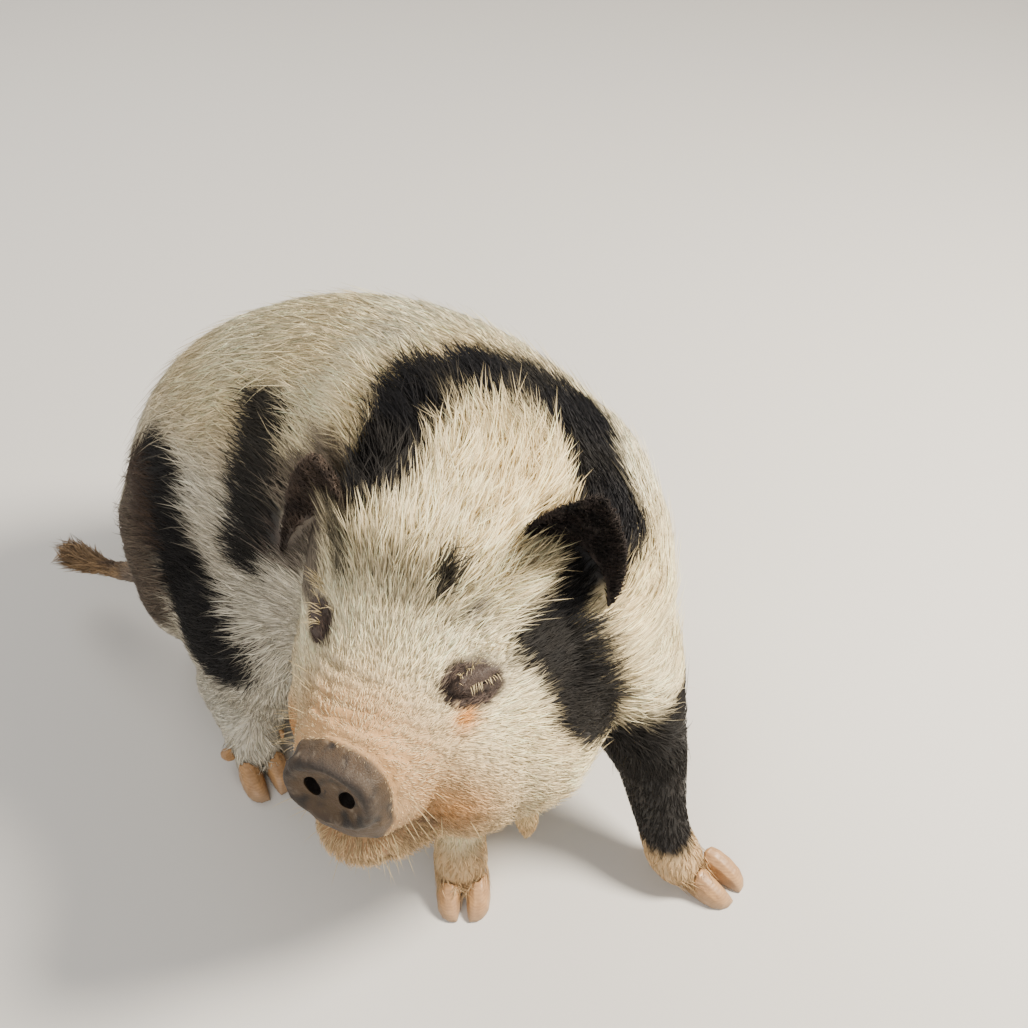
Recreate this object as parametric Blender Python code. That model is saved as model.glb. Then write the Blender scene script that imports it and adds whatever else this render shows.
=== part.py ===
"""A pot-bellied pig of the kunekune kind, life-size, sitting on its haunches with its head turned
to its right. Metres, +Z up. The body points along -Y, and the pig's left side is at +X."""

import math
import random

import bmesh
import bpy
import numpy as np
from mathutils import Matrix, Vector
from mathutils.bvhtree import BVHTree

# Gap between pieces that touch, and the grid and smoothing that fuse the flesh
GAP = 0.0003
FLESH_GRID = 0.0065
FLESH_SMOOTHING = 6
FLESH_TRIANGLES = 2050
SHARP_ANGLE = math.radians(40.0)
FLAT_ANGLE = math.radians(0.3)
NEARLY_FLAT_ANGLE = math.radians(2.5)

# Coat locks: how far apart their roots are, and their length, width and thickness
LOCK_SPACING = 0.0470
LOCK_LENGTH = 0.096
LOCK_WIDTH = 0.027
LOCK_THICKNESS = 0.0040
LOCK_SINK = 0.0060
LOCK_RISE = 0.0075
CREST_SPACING = 0.0225
CREST_LENGTH = 0.078
CREST_WIDTH = 0.020
CREST_RISE = 0.015
CREST_FRONT = 0.002
CREST_BACK = -0.165
CREST_HALF_WIDTH = 0.100
CREST_BOTTOM = 0.030
LOCK_BEND = 0.015
CREST_BEND = 0.012
LOCK_STRAY = 0.24
LOCK_SIZES = (0.86, 1.12)
LOCK_CLEAR = 0.019
LOCK_LOWEST = 0.060
FACE_ENDS = -0.045
HAIR_PARTS_AT = (0.100, 0.0, -0.040)
FACE_COAT_ENDS = -0.115
COAT_TURNS_OVER = 0.10
HAIRY = ("head", "neck", "torso", "left_thigh", "right_thigh")
SEED = 11

# A lock from root to tip: share of its length, of its width, of its thickness and of its rise
LOCK_SHAPE = (
    (0.00, 0.48, 0.70, 0.00),
    (0.24, 0.96, 1.00, 0.64),
    (0.55, 0.84, 0.90, 1.00),
    (0.82, 0.46, 0.60, 0.92),
)
LOCK_TIP_RISE = 0.70

# Bodies that mark off the nodes: half width at the foot and how far below the floor
FOOT_REGION_HALF = 0.036
FOOT_REGION_BELOW = 0.014
NECK_REGION_CENTRE = (0.078, -0.072, 0.335)
NECK_REGION_RADII = (0.112, 0.172, 0.205)
NECK_REGION_TURN = math.radians(-12.0)

# Head: its frame starts midway between the eyes
EYE_LEVEL = 0.360
HEAD_PLACE = Vector((-0.067, -0.078, EYE_LEVEL))
HEAD_YAW = math.radians(195.0)
EYE_SPREAD = 0.070
EYE_RADIUS = 0.0115
EYE_SUNK = 0.62
LID_DEPTH = 0.0024
LID_REACH = 0.0170
LID_CUT = 0.014
LID_MOUND = (0.0270, 0.0170, 0.0124)
UPPER_LID = (0.0062, 0.92, 0.0026)
LOWER_LID = (-0.0050, 0.84, 0.0020)
LIP_ROLL = 0.0052
MOUTH_SINK = 0.002
MOUTH_DEPTH = 0.0095
MOUTH_HALF_HEIGHT = 0.0013
RIGHT_SQUEEZE = 0.95
SNOUT_REACH = 0.131
SNOUT_TILT = math.radians(10.0)
DISC_CENTRE = (SNOUT_REACH, 0.0, -0.045)
DISC_HALF_WIDTH = 0.045
DISC_HALF_HEIGHT = 0.035
NOSTRIL = (0.0080, 0.0105, 0.0200)
NOSTRIL_LEAN = math.radians(-18.0)
NOSTRIL_SPREAD = 0.0170
NOSTRIL_SINK = 0.004
EAR_LENGTH = 0.130
EAR_SUNK = 0.050
EAR_HALF_WIDTH = 0.052
EAR_CUP = 0.026
EAR_CURL = 0.020
EAR_THICKNESS = 0.0052

TASSEL_PLACE = (-0.018, 0.106, -0.183)

# Feet
HOOF_LENGTH = 0.050
HOOF_WIDTH = 0.026
HOOF_HEIGHT = 0.030
TOE_CLEFT = 0.0084
DEWCLAW_LENGTH = 0.024
DEWCLAW_LIFT = 0.015

# One claw seen from the front, in shares of half its width and of its height
HOOF_SECTION = (
    (-1.00, 0.00),
    (1.00, 0.00),
    (1.00, 0.38),
    (0.78, 0.80),
    (0.30, 1.00),
    (-0.30, 1.00),
    (-0.78, 0.80),
    (-1.00, 0.38),
)

# One claw from its tip back: share of its length, of its width and of its height
HOOF_SHAPE = (
    (0.00, 0.34, 0.16),
    (0.08, 0.64, 0.34),
    (0.24, 0.88, 0.56),
    (0.50, 0.99, 0.80),
    (0.76, 1.00, 0.96),
    (0.94, 0.92, 1.00),
    (1.00, 0.72, 0.90),
)

# Trunk from tail to chest: x, y, z of the centre, half width, half height
TRUNK = (
    (-0.060, 0.364, 0.114, 0.030, 0.040),
    (-0.044, 0.348, 0.120, 0.078, 0.106),
    (0.010, 0.316, 0.146, 0.124, 0.154),
    (0.064, 0.270, 0.190, 0.154, 0.202),
    (0.096, 0.196, 0.240, 0.175, 0.233),
    (0.113, 0.094, 0.274, 0.176, 0.249),
    (0.118, -0.010, 0.298, 0.163, 0.237),
    (0.110, -0.096, 0.300, 0.142, 0.196),
    (0.102, -0.158, 0.280, 0.108, 0.148),
    (0.104, -0.200, 0.262, 0.068, 0.094),
    (0.104, -0.220, 0.256, 0.022, 0.030),
)

# Legs down to the toes, in the same terms as the trunk
LEFT_FORELEG = (
    (0.098, -0.120, 0.310, 0.060, 0.070),
    (0.114, -0.162, 0.262, 0.072, 0.086),
    (0.120, -0.205, 0.190, 0.052, 0.060),
    (0.114, -0.238, 0.135, 0.036, 0.042),
    (0.102, -0.262, 0.090, 0.029, 0.032),
    (0.090, -0.283, 0.058, 0.027, 0.028),
    (0.087, -0.300, 0.034, 0.030, 0.030),
    (0.090, -0.318, 0.022, 0.029, 0.018),
    (0.092, -0.330, 0.018, 0.022, 0.010),
)
RIGHT_FORELEG = (
    (0.030, -0.080, 0.290, 0.060, 0.070),
    (0.000, -0.092, 0.240, 0.062, 0.070),
    (-0.020, -0.100, 0.180, 0.050, 0.055),
    (-0.034, -0.106, 0.130, 0.036, 0.041),
    (-0.044, -0.114, 0.088, 0.029, 0.032),
    (-0.052, -0.120, 0.058, 0.027, 0.028),
    (-0.062, -0.129, 0.034, 0.030, 0.030),
    (-0.074, -0.139, 0.022, 0.029, 0.018),
    (-0.082, -0.146, 0.018, 0.022, 0.010),
)
RIGHT_SHANK = (
    (-0.054, 0.264, 0.040, 0.022, 0.024),
    (-0.062, 0.244, 0.042, 0.037, 0.042),
    (-0.072, 0.222, 0.038, 0.035, 0.039),
    (-0.086, 0.190, 0.035, 0.031, 0.035),
    (-0.097, 0.162, 0.031, 0.030, 0.031),
    (-0.108, 0.138, 0.022, 0.029, 0.018),
    (-0.114, 0.126, 0.018, 0.022, 0.010),
)
LEFT_SHANK = (
    (0.173, 0.316, 0.040, 0.022, 0.024),
    (0.184, 0.298, 0.042, 0.037, 0.042),
    (0.200, 0.274, 0.038, 0.035, 0.039),
    (0.215, 0.245, 0.035, 0.031, 0.035),
    (0.226, 0.219, 0.031, 0.030, 0.031),
    (0.236, 0.195, 0.022, 0.029, 0.018),
    (0.241, 0.183, 0.018, 0.022, 0.010),
)
RIGHT_HAM = ((-0.030, 0.212, 0.136), (0.078, 0.112, 0.142), math.radians(-15))
LEFT_HAM = ((0.158, 0.238, 0.128), (0.082, 0.116, 0.134), math.radians(-30))

# Feet: toe, heading, and how far behind the hooves and how far out the dewclaws sit
FEET = (
    ("left_fore", (0.104, -0.372), math.radians(-88.0), 0.050, 0.016),
    ("right_fore", (-0.104, -0.168), math.radians(220.0), 0.050, 0.016),
    ("left_hind", (0.248, 0.150), math.radians(-75.0), 0.026, 0.033),
    ("right_hind", (-0.128, 0.094), math.radians(-112.0), 0.026, 0.033),
)

# Surfaces: what a node's name ends in or is, colour, roughness
SURFACES = (
    ("hoof", (0.30, 0.19, 0.13), 0.45),
    ("dewclaw", (0.27, 0.17, 0.12), 0.50),
    ("eye", (0.10, 0.05, 0.03), 0.12),
    ("ear", (0.05, 0.045, 0.045), 0.85),
    ("tassel", (0.55, 0.40, 0.26), 0.85),
    ("tail", (0.22, 0.15, 0.10), 0.90),
    ("thigh", (0.06, 0.055, 0.055), 0.90),
    ("hind_leg", (0.70, 0.64, 0.56), 0.90),
    ("left_foreleg", (0.06, 0.055, 0.055), 0.90),
    ("right_foreleg", (0.60, 0.45, 0.30), 0.90),
    ("neck", (0.16, 0.15, 0.14), 0.90),
    ("head", (0.72, 0.64, 0.54), 0.85),
    ("torso", (0.72, 0.67, 0.58), 0.90),
)

# Head rings: forward of the eyes, half width, top and bottom above the eyes, fullness low down
HEAD = (
    (0.145, 0.036, -0.018, -0.092, 0.00),
    (0.137, 0.047, -0.010, -0.110, 0.02),
    (0.113, 0.058, -0.003, -0.126, 0.06),
    (0.079, 0.074, 0.006, -0.134, 0.12),
    (0.046, 0.091, 0.020, -0.138, 0.14),
    (0.014, 0.110, 0.046, -0.143, 0.14),
    (-0.018, 0.127, 0.077, -0.155, 0.12),
    (-0.052, 0.141, 0.104, -0.168, 0.08),
    (-0.090, 0.148, 0.121, -0.172, 0.03),
    (-0.130, 0.142, 0.122, -0.165, 0.00),
    (-0.160, 0.095, 0.086, -0.110, 0.00),
    (-0.176, 0.020, 0.010, -0.050, 0.00),
)

# Rim of the snout's plate from its root to its face: how far forward, share of its full size
DISC_RIM = (
    (-0.012, 0.90),
    (-0.002, 0.99),
    (0.006, 1.04),
    (0.011, 1.00),
    (0.0125, 0.92),
    (0.011, 0.84),
)

# Cheeks and jowls: place in the head's frame and radii
CHEEKS = (
    ((0.008, 0.074, -0.106), (0.080, 0.064, 0.086)),
    ((-0.048, 0.098, -0.116), (0.092, 0.076, 0.088)),
    ((0.002, -0.056, -0.104), (0.080, 0.060, 0.084)),
    ((-0.052, -0.074, -0.114), (0.088, 0.072, 0.086)),
)

# Lower jaw: forward, half width, middle above the eyes, half height
JAW = (
    (0.121, 0.024, -0.128, 0.024),
    (0.111, 0.042, -0.138, 0.038),
    (0.084, 0.060, -0.147, 0.048),
    (0.036, 0.082, -0.152, 0.055),
    (-0.030, 0.098, -0.154, 0.058),
)

# Mouth line: side, forward, across and up in the head's frame, from corner to corner
MOUTH = (
    (-1, 0.044, 0.088, -0.114),
    (-1, 0.068, 0.078, -0.121),
    (-1, 0.098, 0.058, -0.120),
    (-1, 0.121, 0.034, -0.116),
    (1, 0.133, 0.000, -0.113),
    (1, 0.121, 0.034, -0.116),
    (1, 0.098, 0.058, -0.120),
    (1, 0.068, 0.078, -0.121),
    (1, 0.044, 0.088, -0.114),
)

# Ears: root, way it grows and way its hollow faces, all in the head's frame
EARS = (
    ("left_ear", (-0.078, 0.114, 0.058), (-0.10, 0.27, 0.96), (0.95, 0.25, 0.14), 1),
    ("right_ear", (-0.050, -0.114, 0.018), (-0.13, 0.14, 0.98), (0.92, -0.30, 0.10), -1),
)


def clear_scene():
    for obj in list(bpy.data.objects):
        bpy.data.objects.remove(obj, do_unlink=True)


def head_point(forward, left, up):
    """A point given in the head's own frame, in the model's frame."""
    c, s = math.cos(HEAD_YAW), math.sin(HEAD_YAW)
    return HEAD_PLACE + Vector((forward * c - left * s, forward * s + left * c, up))


def head_direction(forward, left, up):
    return (head_point(forward, left, up) - HEAD_PLACE).normalized()


def mesh_object(name, points, faces):
    mesh = bpy.data.meshes.new(name)
    mesh.from_pydata([tuple(p) for p in points], [], faces)
    mesh.update()
    obj = bpy.data.objects.new(name, mesh)
    bpy.context.collection.objects.link(obj)
    return obj


def smooth_through(rows, steps):
    """Rows read off a smooth curve through the given ones, with steps to each span."""
    rows = np.array(rows, float)
    padded = np.vstack([2 * rows[0] - rows[1], rows, 2 * rows[-1] - rows[-2]])
    found = []
    for i in range(1, len(padded) - 2):
        a, b, c, d = padded[i - 1 : i + 3]
        for k in range(steps):
            t = k / steps
            found.append(
                0.5
                * (
                    2 * b
                    + (c - a) * t
                    + (2 * a - 5 * b + 4 * c - d) * t * t
                    + (3 * b - a - 3 * c + d) * t * t * t
                )
            )
    found.append(rows[-1])
    return np.array(found)


def boxy(value, power=0.78):
    """Swells a cosine or sine, so that a ring comes out fuller at its corners."""
    return math.copysign(abs(value) ** power, value)


def tube(name, rings):
    """A closed body through rings of points, each ring listed the same way round."""
    sides = len(rings[0])
    points = [p for ring in rings for p in ring]
    start, end = len(points), len(points) + 1
    points.append(sum((Vector(p) for p in rings[0]), Vector()) / sides)
    points.append(sum((Vector(p) for p in rings[-1]), Vector()) / sides)
    faces = []
    for i in range(len(rings) - 1):
        for k in range(sides):
            a, b = i * sides + k, i * sides + (k + 1) % sides
            faces.append((a, b, b + sides, a + sides))
    last = (len(rings) - 1) * sides
    for k in range(sides):
        faces.append((start, (k + 1) % sides, k))
        faces.append((end, last + k, last + (k + 1) % sides))
    obj = mesh_object(name, points, faces)
    outward(obj)
    return obj


def outward(obj):
    bm = bmesh.new()
    bm.from_mesh(obj.data)
    bmesh.ops.recalc_face_normals(bm, faces=bm.faces)
    bm.to_mesh(obj.data)
    bm.free()


def limb(name, stations, reference, sides=20, steps=4, sag=0.0, power=1.0):
    """A round body along stations of x, y, z, half width and half height. The height lies as near
    the reference direction as it can, sag makes the lower half the fuller one, and a power below
    one makes it boxier."""
    rows = smooth_through(stations, steps)
    rings = []
    for i, row in enumerate(rows):
        before, after = rows[max(i - 1, 0)], rows[min(i + 1, len(rows) - 1)]
        along = Vector(after[:3] - before[:3]).normalized()
        side = along.cross(Vector(reference)).normalized()
        up = side.cross(along)
        ring = []
        for k in range(sides):
            angle = 2 * math.pi * k / sides
            across = row[3] * boxy(math.cos(angle), power) * (1 - sag * math.sin(angle))
            height = row[4] * boxy(math.sin(angle), power)
            ring.append(Vector(row[:3]) + side * across + up * height)
        rings.append(ring)
    return tube(name, rings)


def ball(name, centre, radii, turn=None, rings=12, sides=20):
    """An ellipsoid, turned by a matrix."""
    turn = turn or Matrix.Identity(3)
    layers = []
    for i in range(1, rings):
        polar = math.pi * i / rings
        layers.append(
            [
                Vector(centre)
                + turn
                @ Vector(
                    (
                        radii[0] * math.sin(polar) * math.cos(2 * math.pi * k / sides),
                        radii[1] * math.sin(polar) * math.sin(2 * math.pi * k / sides),
                        radii[2] * math.cos(polar),
                    )
                )
                for k in range(sides)
            ]
        )
    obj = tube(name, layers)
    poles = (radii[2], -radii[2])
    for vertex, reach in zip(obj.data.vertices[-2:], poles):
        vertex.co = Vector(centre) + turn @ Vector((0, 0, reach))
    return obj


def box(name, low, high):
    ends = list(zip(low, high))
    corners = [(x, y, z) for z in ends[2] for y in ends[1] for x in ends[0]]
    faces = [(0, 2, 3, 1), (4, 5, 7, 6), (0, 1, 5, 4), (2, 6, 7, 3), (0, 4, 6, 2), (1, 3, 7, 5)]
    return mesh_object(name, corners, faces)


def bake(obj):
    """Applies the object's modifiers."""
    graph = bpy.context.evaluated_depsgraph_get()
    mesh = bpy.data.meshes.new_from_object(obj.evaluated_get(graph))
    obj.modifiers.clear()
    obj.data = mesh
    return obj


def remove(*objects):
    for obj in objects:
        bpy.data.objects.remove(obj, do_unlink=True)


def copy_of(obj, name):
    twin = bpy.data.objects.new(name, obj.data.copy())
    bpy.context.collection.objects.link(twin)
    return twin


def boolean(obj, other, operation):
    """Joins, cuts or crosses obj with another mesh, which is used up. The exact solver gave an
    empty mesh on one of these cuts, so the manifold one is used."""
    modifier = obj.modifiers.new("boolean", "BOOLEAN")
    modifier.operation = operation
    modifier.solver = "MANIFOLD"
    modifier.object = other
    bake(obj)
    remove(other)
    return obj


def keep_largest(obj):
    """Leaves only the largest closed surface of the object."""
    bm = bmesh.new()
    bm.from_mesh(obj.data)
    bmesh.ops.triangulate(bm, faces=bm.faces)
    bm.verts.ensure_lookup_table()
    seen, islands = set(), []
    for seed in bm.verts:
        if seed in seen:
            continue
        stack, island = [seed], []
        seen.add(seed)
        while stack:
            vertex = stack.pop()
            island.append(vertex)
            for edge in vertex.link_edges:
                other = edge.other_vert(vertex)
                if other not in seen:
                    seen.add(other)
                    stack.append(other)
        islands.append(island)
    islands.sort(key=len)
    for island in islands[:-1]:
        bmesh.ops.delete(bm, geom=island, context="VERTS")
    bm.to_mesh(obj.data)
    bm.free()
    return obj


def simplified(obj, angle):
    """Merges the slivers that cuts leave on faces that lie in one plane."""
    bm = bmesh.new()
    bm.from_mesh(obj.data)
    bmesh.ops.dissolve_limit(
        bm, angle_limit=angle, use_dissolve_boundaries=False, verts=bm.verts, edges=bm.edges
    )
    bmesh.ops.triangulate(bm, faces=bm.faces)
    bm.to_mesh(obj.data)
    bm.free()
    return obj


def grown(obj, name, reach):
    """A copy of a mesh with its skin moved out by reach."""
    twin = copy_of(obj, name)
    normals = [v.normal.copy() for v in twin.data.vertices]
    for vertex, normal in zip(twin.data.vertices, normals):
        vertex.co += normal * reach
    return twin


def trimmed(obj, *neighbours):
    """The object cut back so that it meets each neighbour with the gap between them."""
    for neighbour in neighbours:
        boolean(obj, grown(neighbour, "cutter", GAP), "DIFFERENCE")
    return keep_largest(obj)


def fused(name, pieces, grid, smoothing, triangles):
    """One smooth closed skin round overlapping pieces."""
    vertices, faces = [], []
    for piece in pieces:
        start = len(vertices)
        vertices += [v.co.copy() for v in piece.data.vertices]
        faces += [[start + i for i in f.vertices] for f in piece.data.polygons]
    remove(*pieces)
    obj = mesh_object(name, vertices, faces)
    remesh = obj.modifiers.new("fuse", "REMESH")
    remesh.mode = "VOXEL"
    remesh.voxel_size = grid
    relax = obj.modifiers.new("smooth", "SMOOTH")
    relax.iterations = smoothing
    relax.factor = 0.5
    bake(obj)
    decimate = obj.modifiers.new("thin out", "DECIMATE")
    decimate.ratio = min(1.0, triangles / (2 * len(obj.data.polygons)))
    return bake(obj)


def trunk():
    return limb("trunk", TRUNK, (0, 0, 1), sides=32, steps=3, sag=0.10)


def head_mass():
    """The skull and muzzle without eyes, ears or disc."""
    rings = []
    for forward, half_width, top, bottom, low in smooth_through(HEAD, 3):
        middle, half_height = (top + bottom) / 2, (top - bottom) / 2
        ring = []
        for k in range(28):
            angle = 2 * math.pi * k / 28
            across = half_width * boxy(math.cos(angle)) * (1 - low * math.sin(angle))
            if across < 0:
                across *= RIGHT_SQUEEZE
            ring.append(head_point(forward, across, middle + half_height * boxy(math.sin(angle))))
        rings.append(ring)
    return tube("head mass", rings)


def head_turn():
    return Matrix.Rotation(HEAD_YAW, 3, "Z")


def jowls():
    """Fat cheeks, the right one squeezed by the shoulder, and the lower jaw with its chin."""
    pieces = []
    for place, radii in CHEEKS:
        pieces.append(ball("cheek", head_point(*place), radii, head_turn()))
    rows = [
        (*head_point(forward, 0, up), half_width, half_height)
        for forward, half_width, up, half_height in JAW
    ]
    pieces.append(limb("jaw", rows, (0, 0, 1)))
    return pieces


def neck_mass():
    """The thick neck between the shoulders and the head, with the crest on top."""
    stations = (
        (0.125, -0.034, 0.300, 0.140, 0.175),
        (0.092, -0.058, 0.318, 0.160, 0.186),
        (0.052, -0.074, 0.318, 0.128, 0.166),
        (0.016, -0.078, 0.305, 0.106, 0.116),
        (-0.008, -0.074, 0.300, 0.040, 0.040),
    )
    return limb("neck mass", stations, (0, 0, 1), sides=28, power=0.85)


def front_legs():
    return [
        limb("left foreleg", LEFT_FORELEG, (0.2, -1, 0.4)),
        limb("right foreleg", RIGHT_FORELEG, (-0.76, -0.65, 0.4)),
    ]


def hind_legs():
    """Hams, and shanks that fold back to the hock, with the foot flat on the ground."""
    pieces = []
    for centre, radii, turn in (RIGHT_HAM, LEFT_HAM):
        pieces.append(ball("ham", centre, radii, Matrix.Rotation(turn, 3, "Z")))
    pieces.append(limb("right shank", RIGHT_SHANK, (0, 0, 1)))
    pieces.append(limb("left shank", LEFT_SHANK, (0, 0, 1)))
    return pieces


def flesh():
    """The whole body in one skin, cut flat where it rests on the ground."""
    pieces = [trunk(), neck_mass(), head_mass()]
    pieces += jowls() + front_legs() + hind_legs()
    return on_ground(fused("torso", pieces, FLESH_GRID, FLESH_SMOOTHING, FLESH_TRIANGLES))


def on_ground(body):
    """Cuts away what reaches below the floor."""
    boolean(body, box("ground", (-1, -1, -1), (1, 1, 0)), "DIFFERENCE")
    return keep_largest(body)


def surface_tree(*objects):
    """A search tree over the surfaces of several meshes."""
    points, faces = [], []
    for obj in objects:
        start = len(points)
        points += [v.co.copy() for v in obj.data.vertices]
        faces += [[start + i for i in f.vertices] for f in obj.data.polygons]
    return BVHTree.FromPolygons(points, faces)


def eye_places(tree):
    """Centre and outward direction of each eye, found on the skin of the head."""
    places = []
    for side in (1, -1):
        out = head_direction(0.52, side * 0.85, 0.10)
        hit = tree.find_nearest(head_point(0, side * EYE_SPREAD, 0))[0]
        places.append((hit - out * EYE_RADIUS * EYE_SUNK, out))
    return places


def frame_of(out, up=Vector((0, 0, 1))):
    """A turn whose Z axis is the given direction and whose Y axis is as upright as it can be."""
    across = up.cross(out).normalized()
    return Matrix((across, out.cross(across), out)).transposed()


def lids(place, out):
    """The swelling round one eye, with the fold of the upper lid and of the lower lid on it."""
    turn = frame_of(out)
    mound = ball("lids", place, LID_MOUND, turn, 8, 16)
    for lift, reach, roll in (UPPER_LID, LOWER_LID):
        rows = []
        for k in range(7):
            along = -1 + k / 3
            across = along * reach * LID_MOUND[0]
            up = lift * (1 - along * along)
            left_over = 1 - (across / LID_MOUND[0]) ** 2 - (up / LID_MOUND[1]) ** 2
            spot = place + turn @ Vector((across, up, math.sqrt(max(left_over, 0)) * LID_MOUND[2]))
            width = roll * (1 - 0.75 * along * along)
            rows.append((*spot, width, width))
        boolean(mound, limb("fold", rows, out, sides=6, steps=1), "UNION")
    return mound


def eye_slit(place, out):
    """The narrow opening between the lids, with the hollow that holds the ball."""
    turn = frame_of(out)
    hollow = ball("slit", place, (EYE_RADIUS + GAP,) * 3, turn, 8, 14)
    opening = ball("slit", place + out * EYE_RADIUS, (LID_REACH, LID_DEPTH, LID_CUT), turn, 6, 14)
    return boolean(hollow, opening, "UNION")


def mouth_places(tree):
    """Spots on the skin from one corner of the mouth round the muzzle to the other."""
    found = []
    for side, forward, across, up in MOUTH:
        spot, normal, _, _ = tree.find_nearest(head_point(forward, side * across, up))
        found.append((spot, normal))
    return found


def lips(tree):
    """A low roll above the mouth line and one below it."""
    rolls = []
    for lift in (LIP_ROLL, -LIP_ROLL):
        rows = []
        places = mouth_places(tree)[1:-1]
        for k, (spot, out) in enumerate(places):
            roll = LIP_ROLL * (0.40 + 0.60 * math.sin(math.pi * (k + 0.5) / len(places)))
            rows.append((*(spot + Vector((0, 0, lift)) - out * roll * 0.6), roll, roll))
        rolls.append(limb("lip", rows, (0, 0, 1), sides=6, steps=1))
    return rolls


def mouth_line(tree):
    """The thin groove between the lips."""
    rows = []
    for spot, out in mouth_places(tree):
        rows.append((*(spot - out * MOUTH_SINK), MOUTH_DEPTH, MOUTH_HALF_HEIGHT))
    return limb("mouth", rows, (0, 0, 1), sides=4, steps=2)


def snout_turn():
    return frame_of(head_direction(math.cos(SNOUT_TILT), 0, math.sin(SNOUT_TILT)))


def snout_face():
    """A block that squares the muzzle off where the snout's plate begins."""
    face = ball("snout face", (0, 0, 0.115), (0.110, 0.110, 0.110), None, 10, 20)
    face.data.transform(Matrix.Translation(head_point(*DISC_CENTRE)) @ snout_turn().to_4x4())
    return face


def disc():
    """The flat plate of the snout with its rim."""
    turn = snout_turn()
    rings = []
    for depth, scale in DISC_RIM:
        ring = []
        for k in range(20):
            angle = 2 * math.pi * k / 20
            across = DISC_HALF_WIDTH * scale * boxy(math.cos(angle), 0.85)
            height = DISC_HALF_HEIGHT * scale * boxy(math.sin(angle), 0.85)
            ring.append(head_point(*DISC_CENTRE) + turn @ Vector((across, height, depth)))
        rings.append(ring)
    return tube("snout", rings)


def nostrils():
    """The two openings in the plate."""
    turn = snout_turn()
    holes = []
    for side in (1, -1):
        lean = turn @ Matrix.Rotation(side * NOSTRIL_LEAN, 3, "Z")
        centre = head_point(*DISC_CENTRE) + turn @ Vector((side * NOSTRIL_SPREAD, 0, NOSTRIL_SINK))
        holes.append(ball("nostril", centre, NOSTRIL, lean, 8, 12))
    return holes


def ear(name, root, grow, face, side):
    """A cupped, pointed ear that stands half up, with its hollow turned forward and out."""
    root = head_point(*root)
    grow = head_direction(*grow)
    across = grow.cross(head_direction(*face)).normalized() * side
    face = (across.cross(grow) * side).normalized()
    rows, columns = 9, 8
    outer, inner = [], []
    for i in range(rows + 1):
        t = i / rows
        reach = t * (EAR_LENGTH + EAR_SUNK) - EAR_SUNK
        share = max(reach / EAR_LENGTH, 0.0)
        half = max(EAR_HALF_WIDTH * (1 - share ** 1.9) ** 0.86, EAR_THICKNESS * 0.5)
        spine = root + grow * reach + face * EAR_CURL * share * share
        thick = EAR_THICKNESS * (1.25 - 0.70 * share)
        for k in range(columns + 1):
            u = -1 + 2 * k / columns
            hollow = face * EAR_CUP * (1 - 0.45 * share) * (u * u - 1) * half / EAR_HALF_WIDTH
            point = spine + across * u * half + hollow
            lean = (face - across * u * 0.8 * (1 - 0.5 * share)).normalized()
            slab = thick * 0.5 * (1 - 0.55 * abs(u) ** 3)
            outer.append(point - lean * slab)
            inner.append(point + lean * slab)
    obj = mesh_object(name, outer + inner, shell_faces(rows, columns))
    outward(obj)
    return obj


def shell_faces(rows, columns):
    """The faces of a thin shell, given as a grid of points twice over, closed round its rim."""
    count = (rows + 1) * (columns + 1)
    stride = columns + 1
    faces = []
    for i in range(rows):
        for k in range(columns):
            a = i * stride + k
            faces.append((a, a + 1, a + 1 + stride, a + stride))
            faces.append((count + a, count + a + stride, count + a + 1 + stride, count + a + 1))
    rim = list(range(stride))
    rim += [i * stride + columns for i in range(1, rows + 1)]
    rim += [rows * stride + k for k in range(columns - 1, -1, -1)]
    rim += [i * stride for i in range(rows - 1, 0, -1)]
    for a, b in zip(rim, rim[1:] + rim[:1]):
        faces.append((a, count + a, count + b, b))
    return faces


def hoof(name, toe, heading, side):
    """One claw of a foot: flat below, sloped at the front, pointed at the tip."""
    along = Vector((math.cos(heading), math.sin(heading), 0))
    left = Vector((-along.y, along.x, 0))
    rings = []
    for back, wide, tall in HOOF_SHAPE:
        spot = Vector(toe) - along * back * HOOF_LENGTH
        half = HOOF_WIDTH * 0.5 * wide
        inset = side * (half - HOOF_WIDTH * 0.5) * 0.75
        ring = []
        for x, z in HOOF_SECTION:
            ring.append(spot + left * (half * x + inset) + Vector((0, 0, HOOF_HEIGHT * tall * z)))
        rings.append(ring)
    return tube(name, rings)


def dewclaw(name, place, heading, side):
    """A small claw behind the foot, clear of the ground."""
    along = Vector((math.cos(heading), math.sin(heading), 0))
    left = Vector((-along.y, along.x, 0))
    tip = Vector(place)
    rise = Vector((0, 0, DEWCLAW_LENGTH * 0.75))
    end = tip + along * DEWCLAW_LENGTH * 0.9 - left * side * DEWCLAW_LENGTH * 0.2 + rise
    rows = (
        (*tip, 0.0020, 0.0016),
        (*tip.lerp(end, 0.25), 0.0062, 0.0050),
        (*tip.lerp(end, 0.60), 0.0085, 0.0075),
        (*end, 0.0080, 0.0070),
    )
    return limb(name, rows, (0, 0, 1), sides=8, steps=1)


def feet(body):
    """Two hooves and two dewclaws to each leg, each cut to meet the flesh."""
    found = []
    for name, (x, y), heading, setback, spread_out in FEET:
        along = Vector((math.cos(heading), math.sin(heading), 0))
        left = Vector((-along.y, along.x, 0))
        for side, word in ((1, "left"), (-1, "right")):
            spread = left * side * (HOOF_WIDTH + TOE_CLEFT) * 0.5
            claw = hoof(f"{name}_{word}_hoof", Vector((x, y, 0)) + spread, heading + side * 0.06, side)
            found.append(trimmed(claw, body))
            place = Vector((x, y, DEWCLAW_LIFT)) + left * side * spread_out
            place -= along * (HOOF_LENGTH + setback)
            found.append(trimmed(dewclaw(f"{name}_{word}_dewclaw", place, heading, side), body))
    return found


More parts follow.
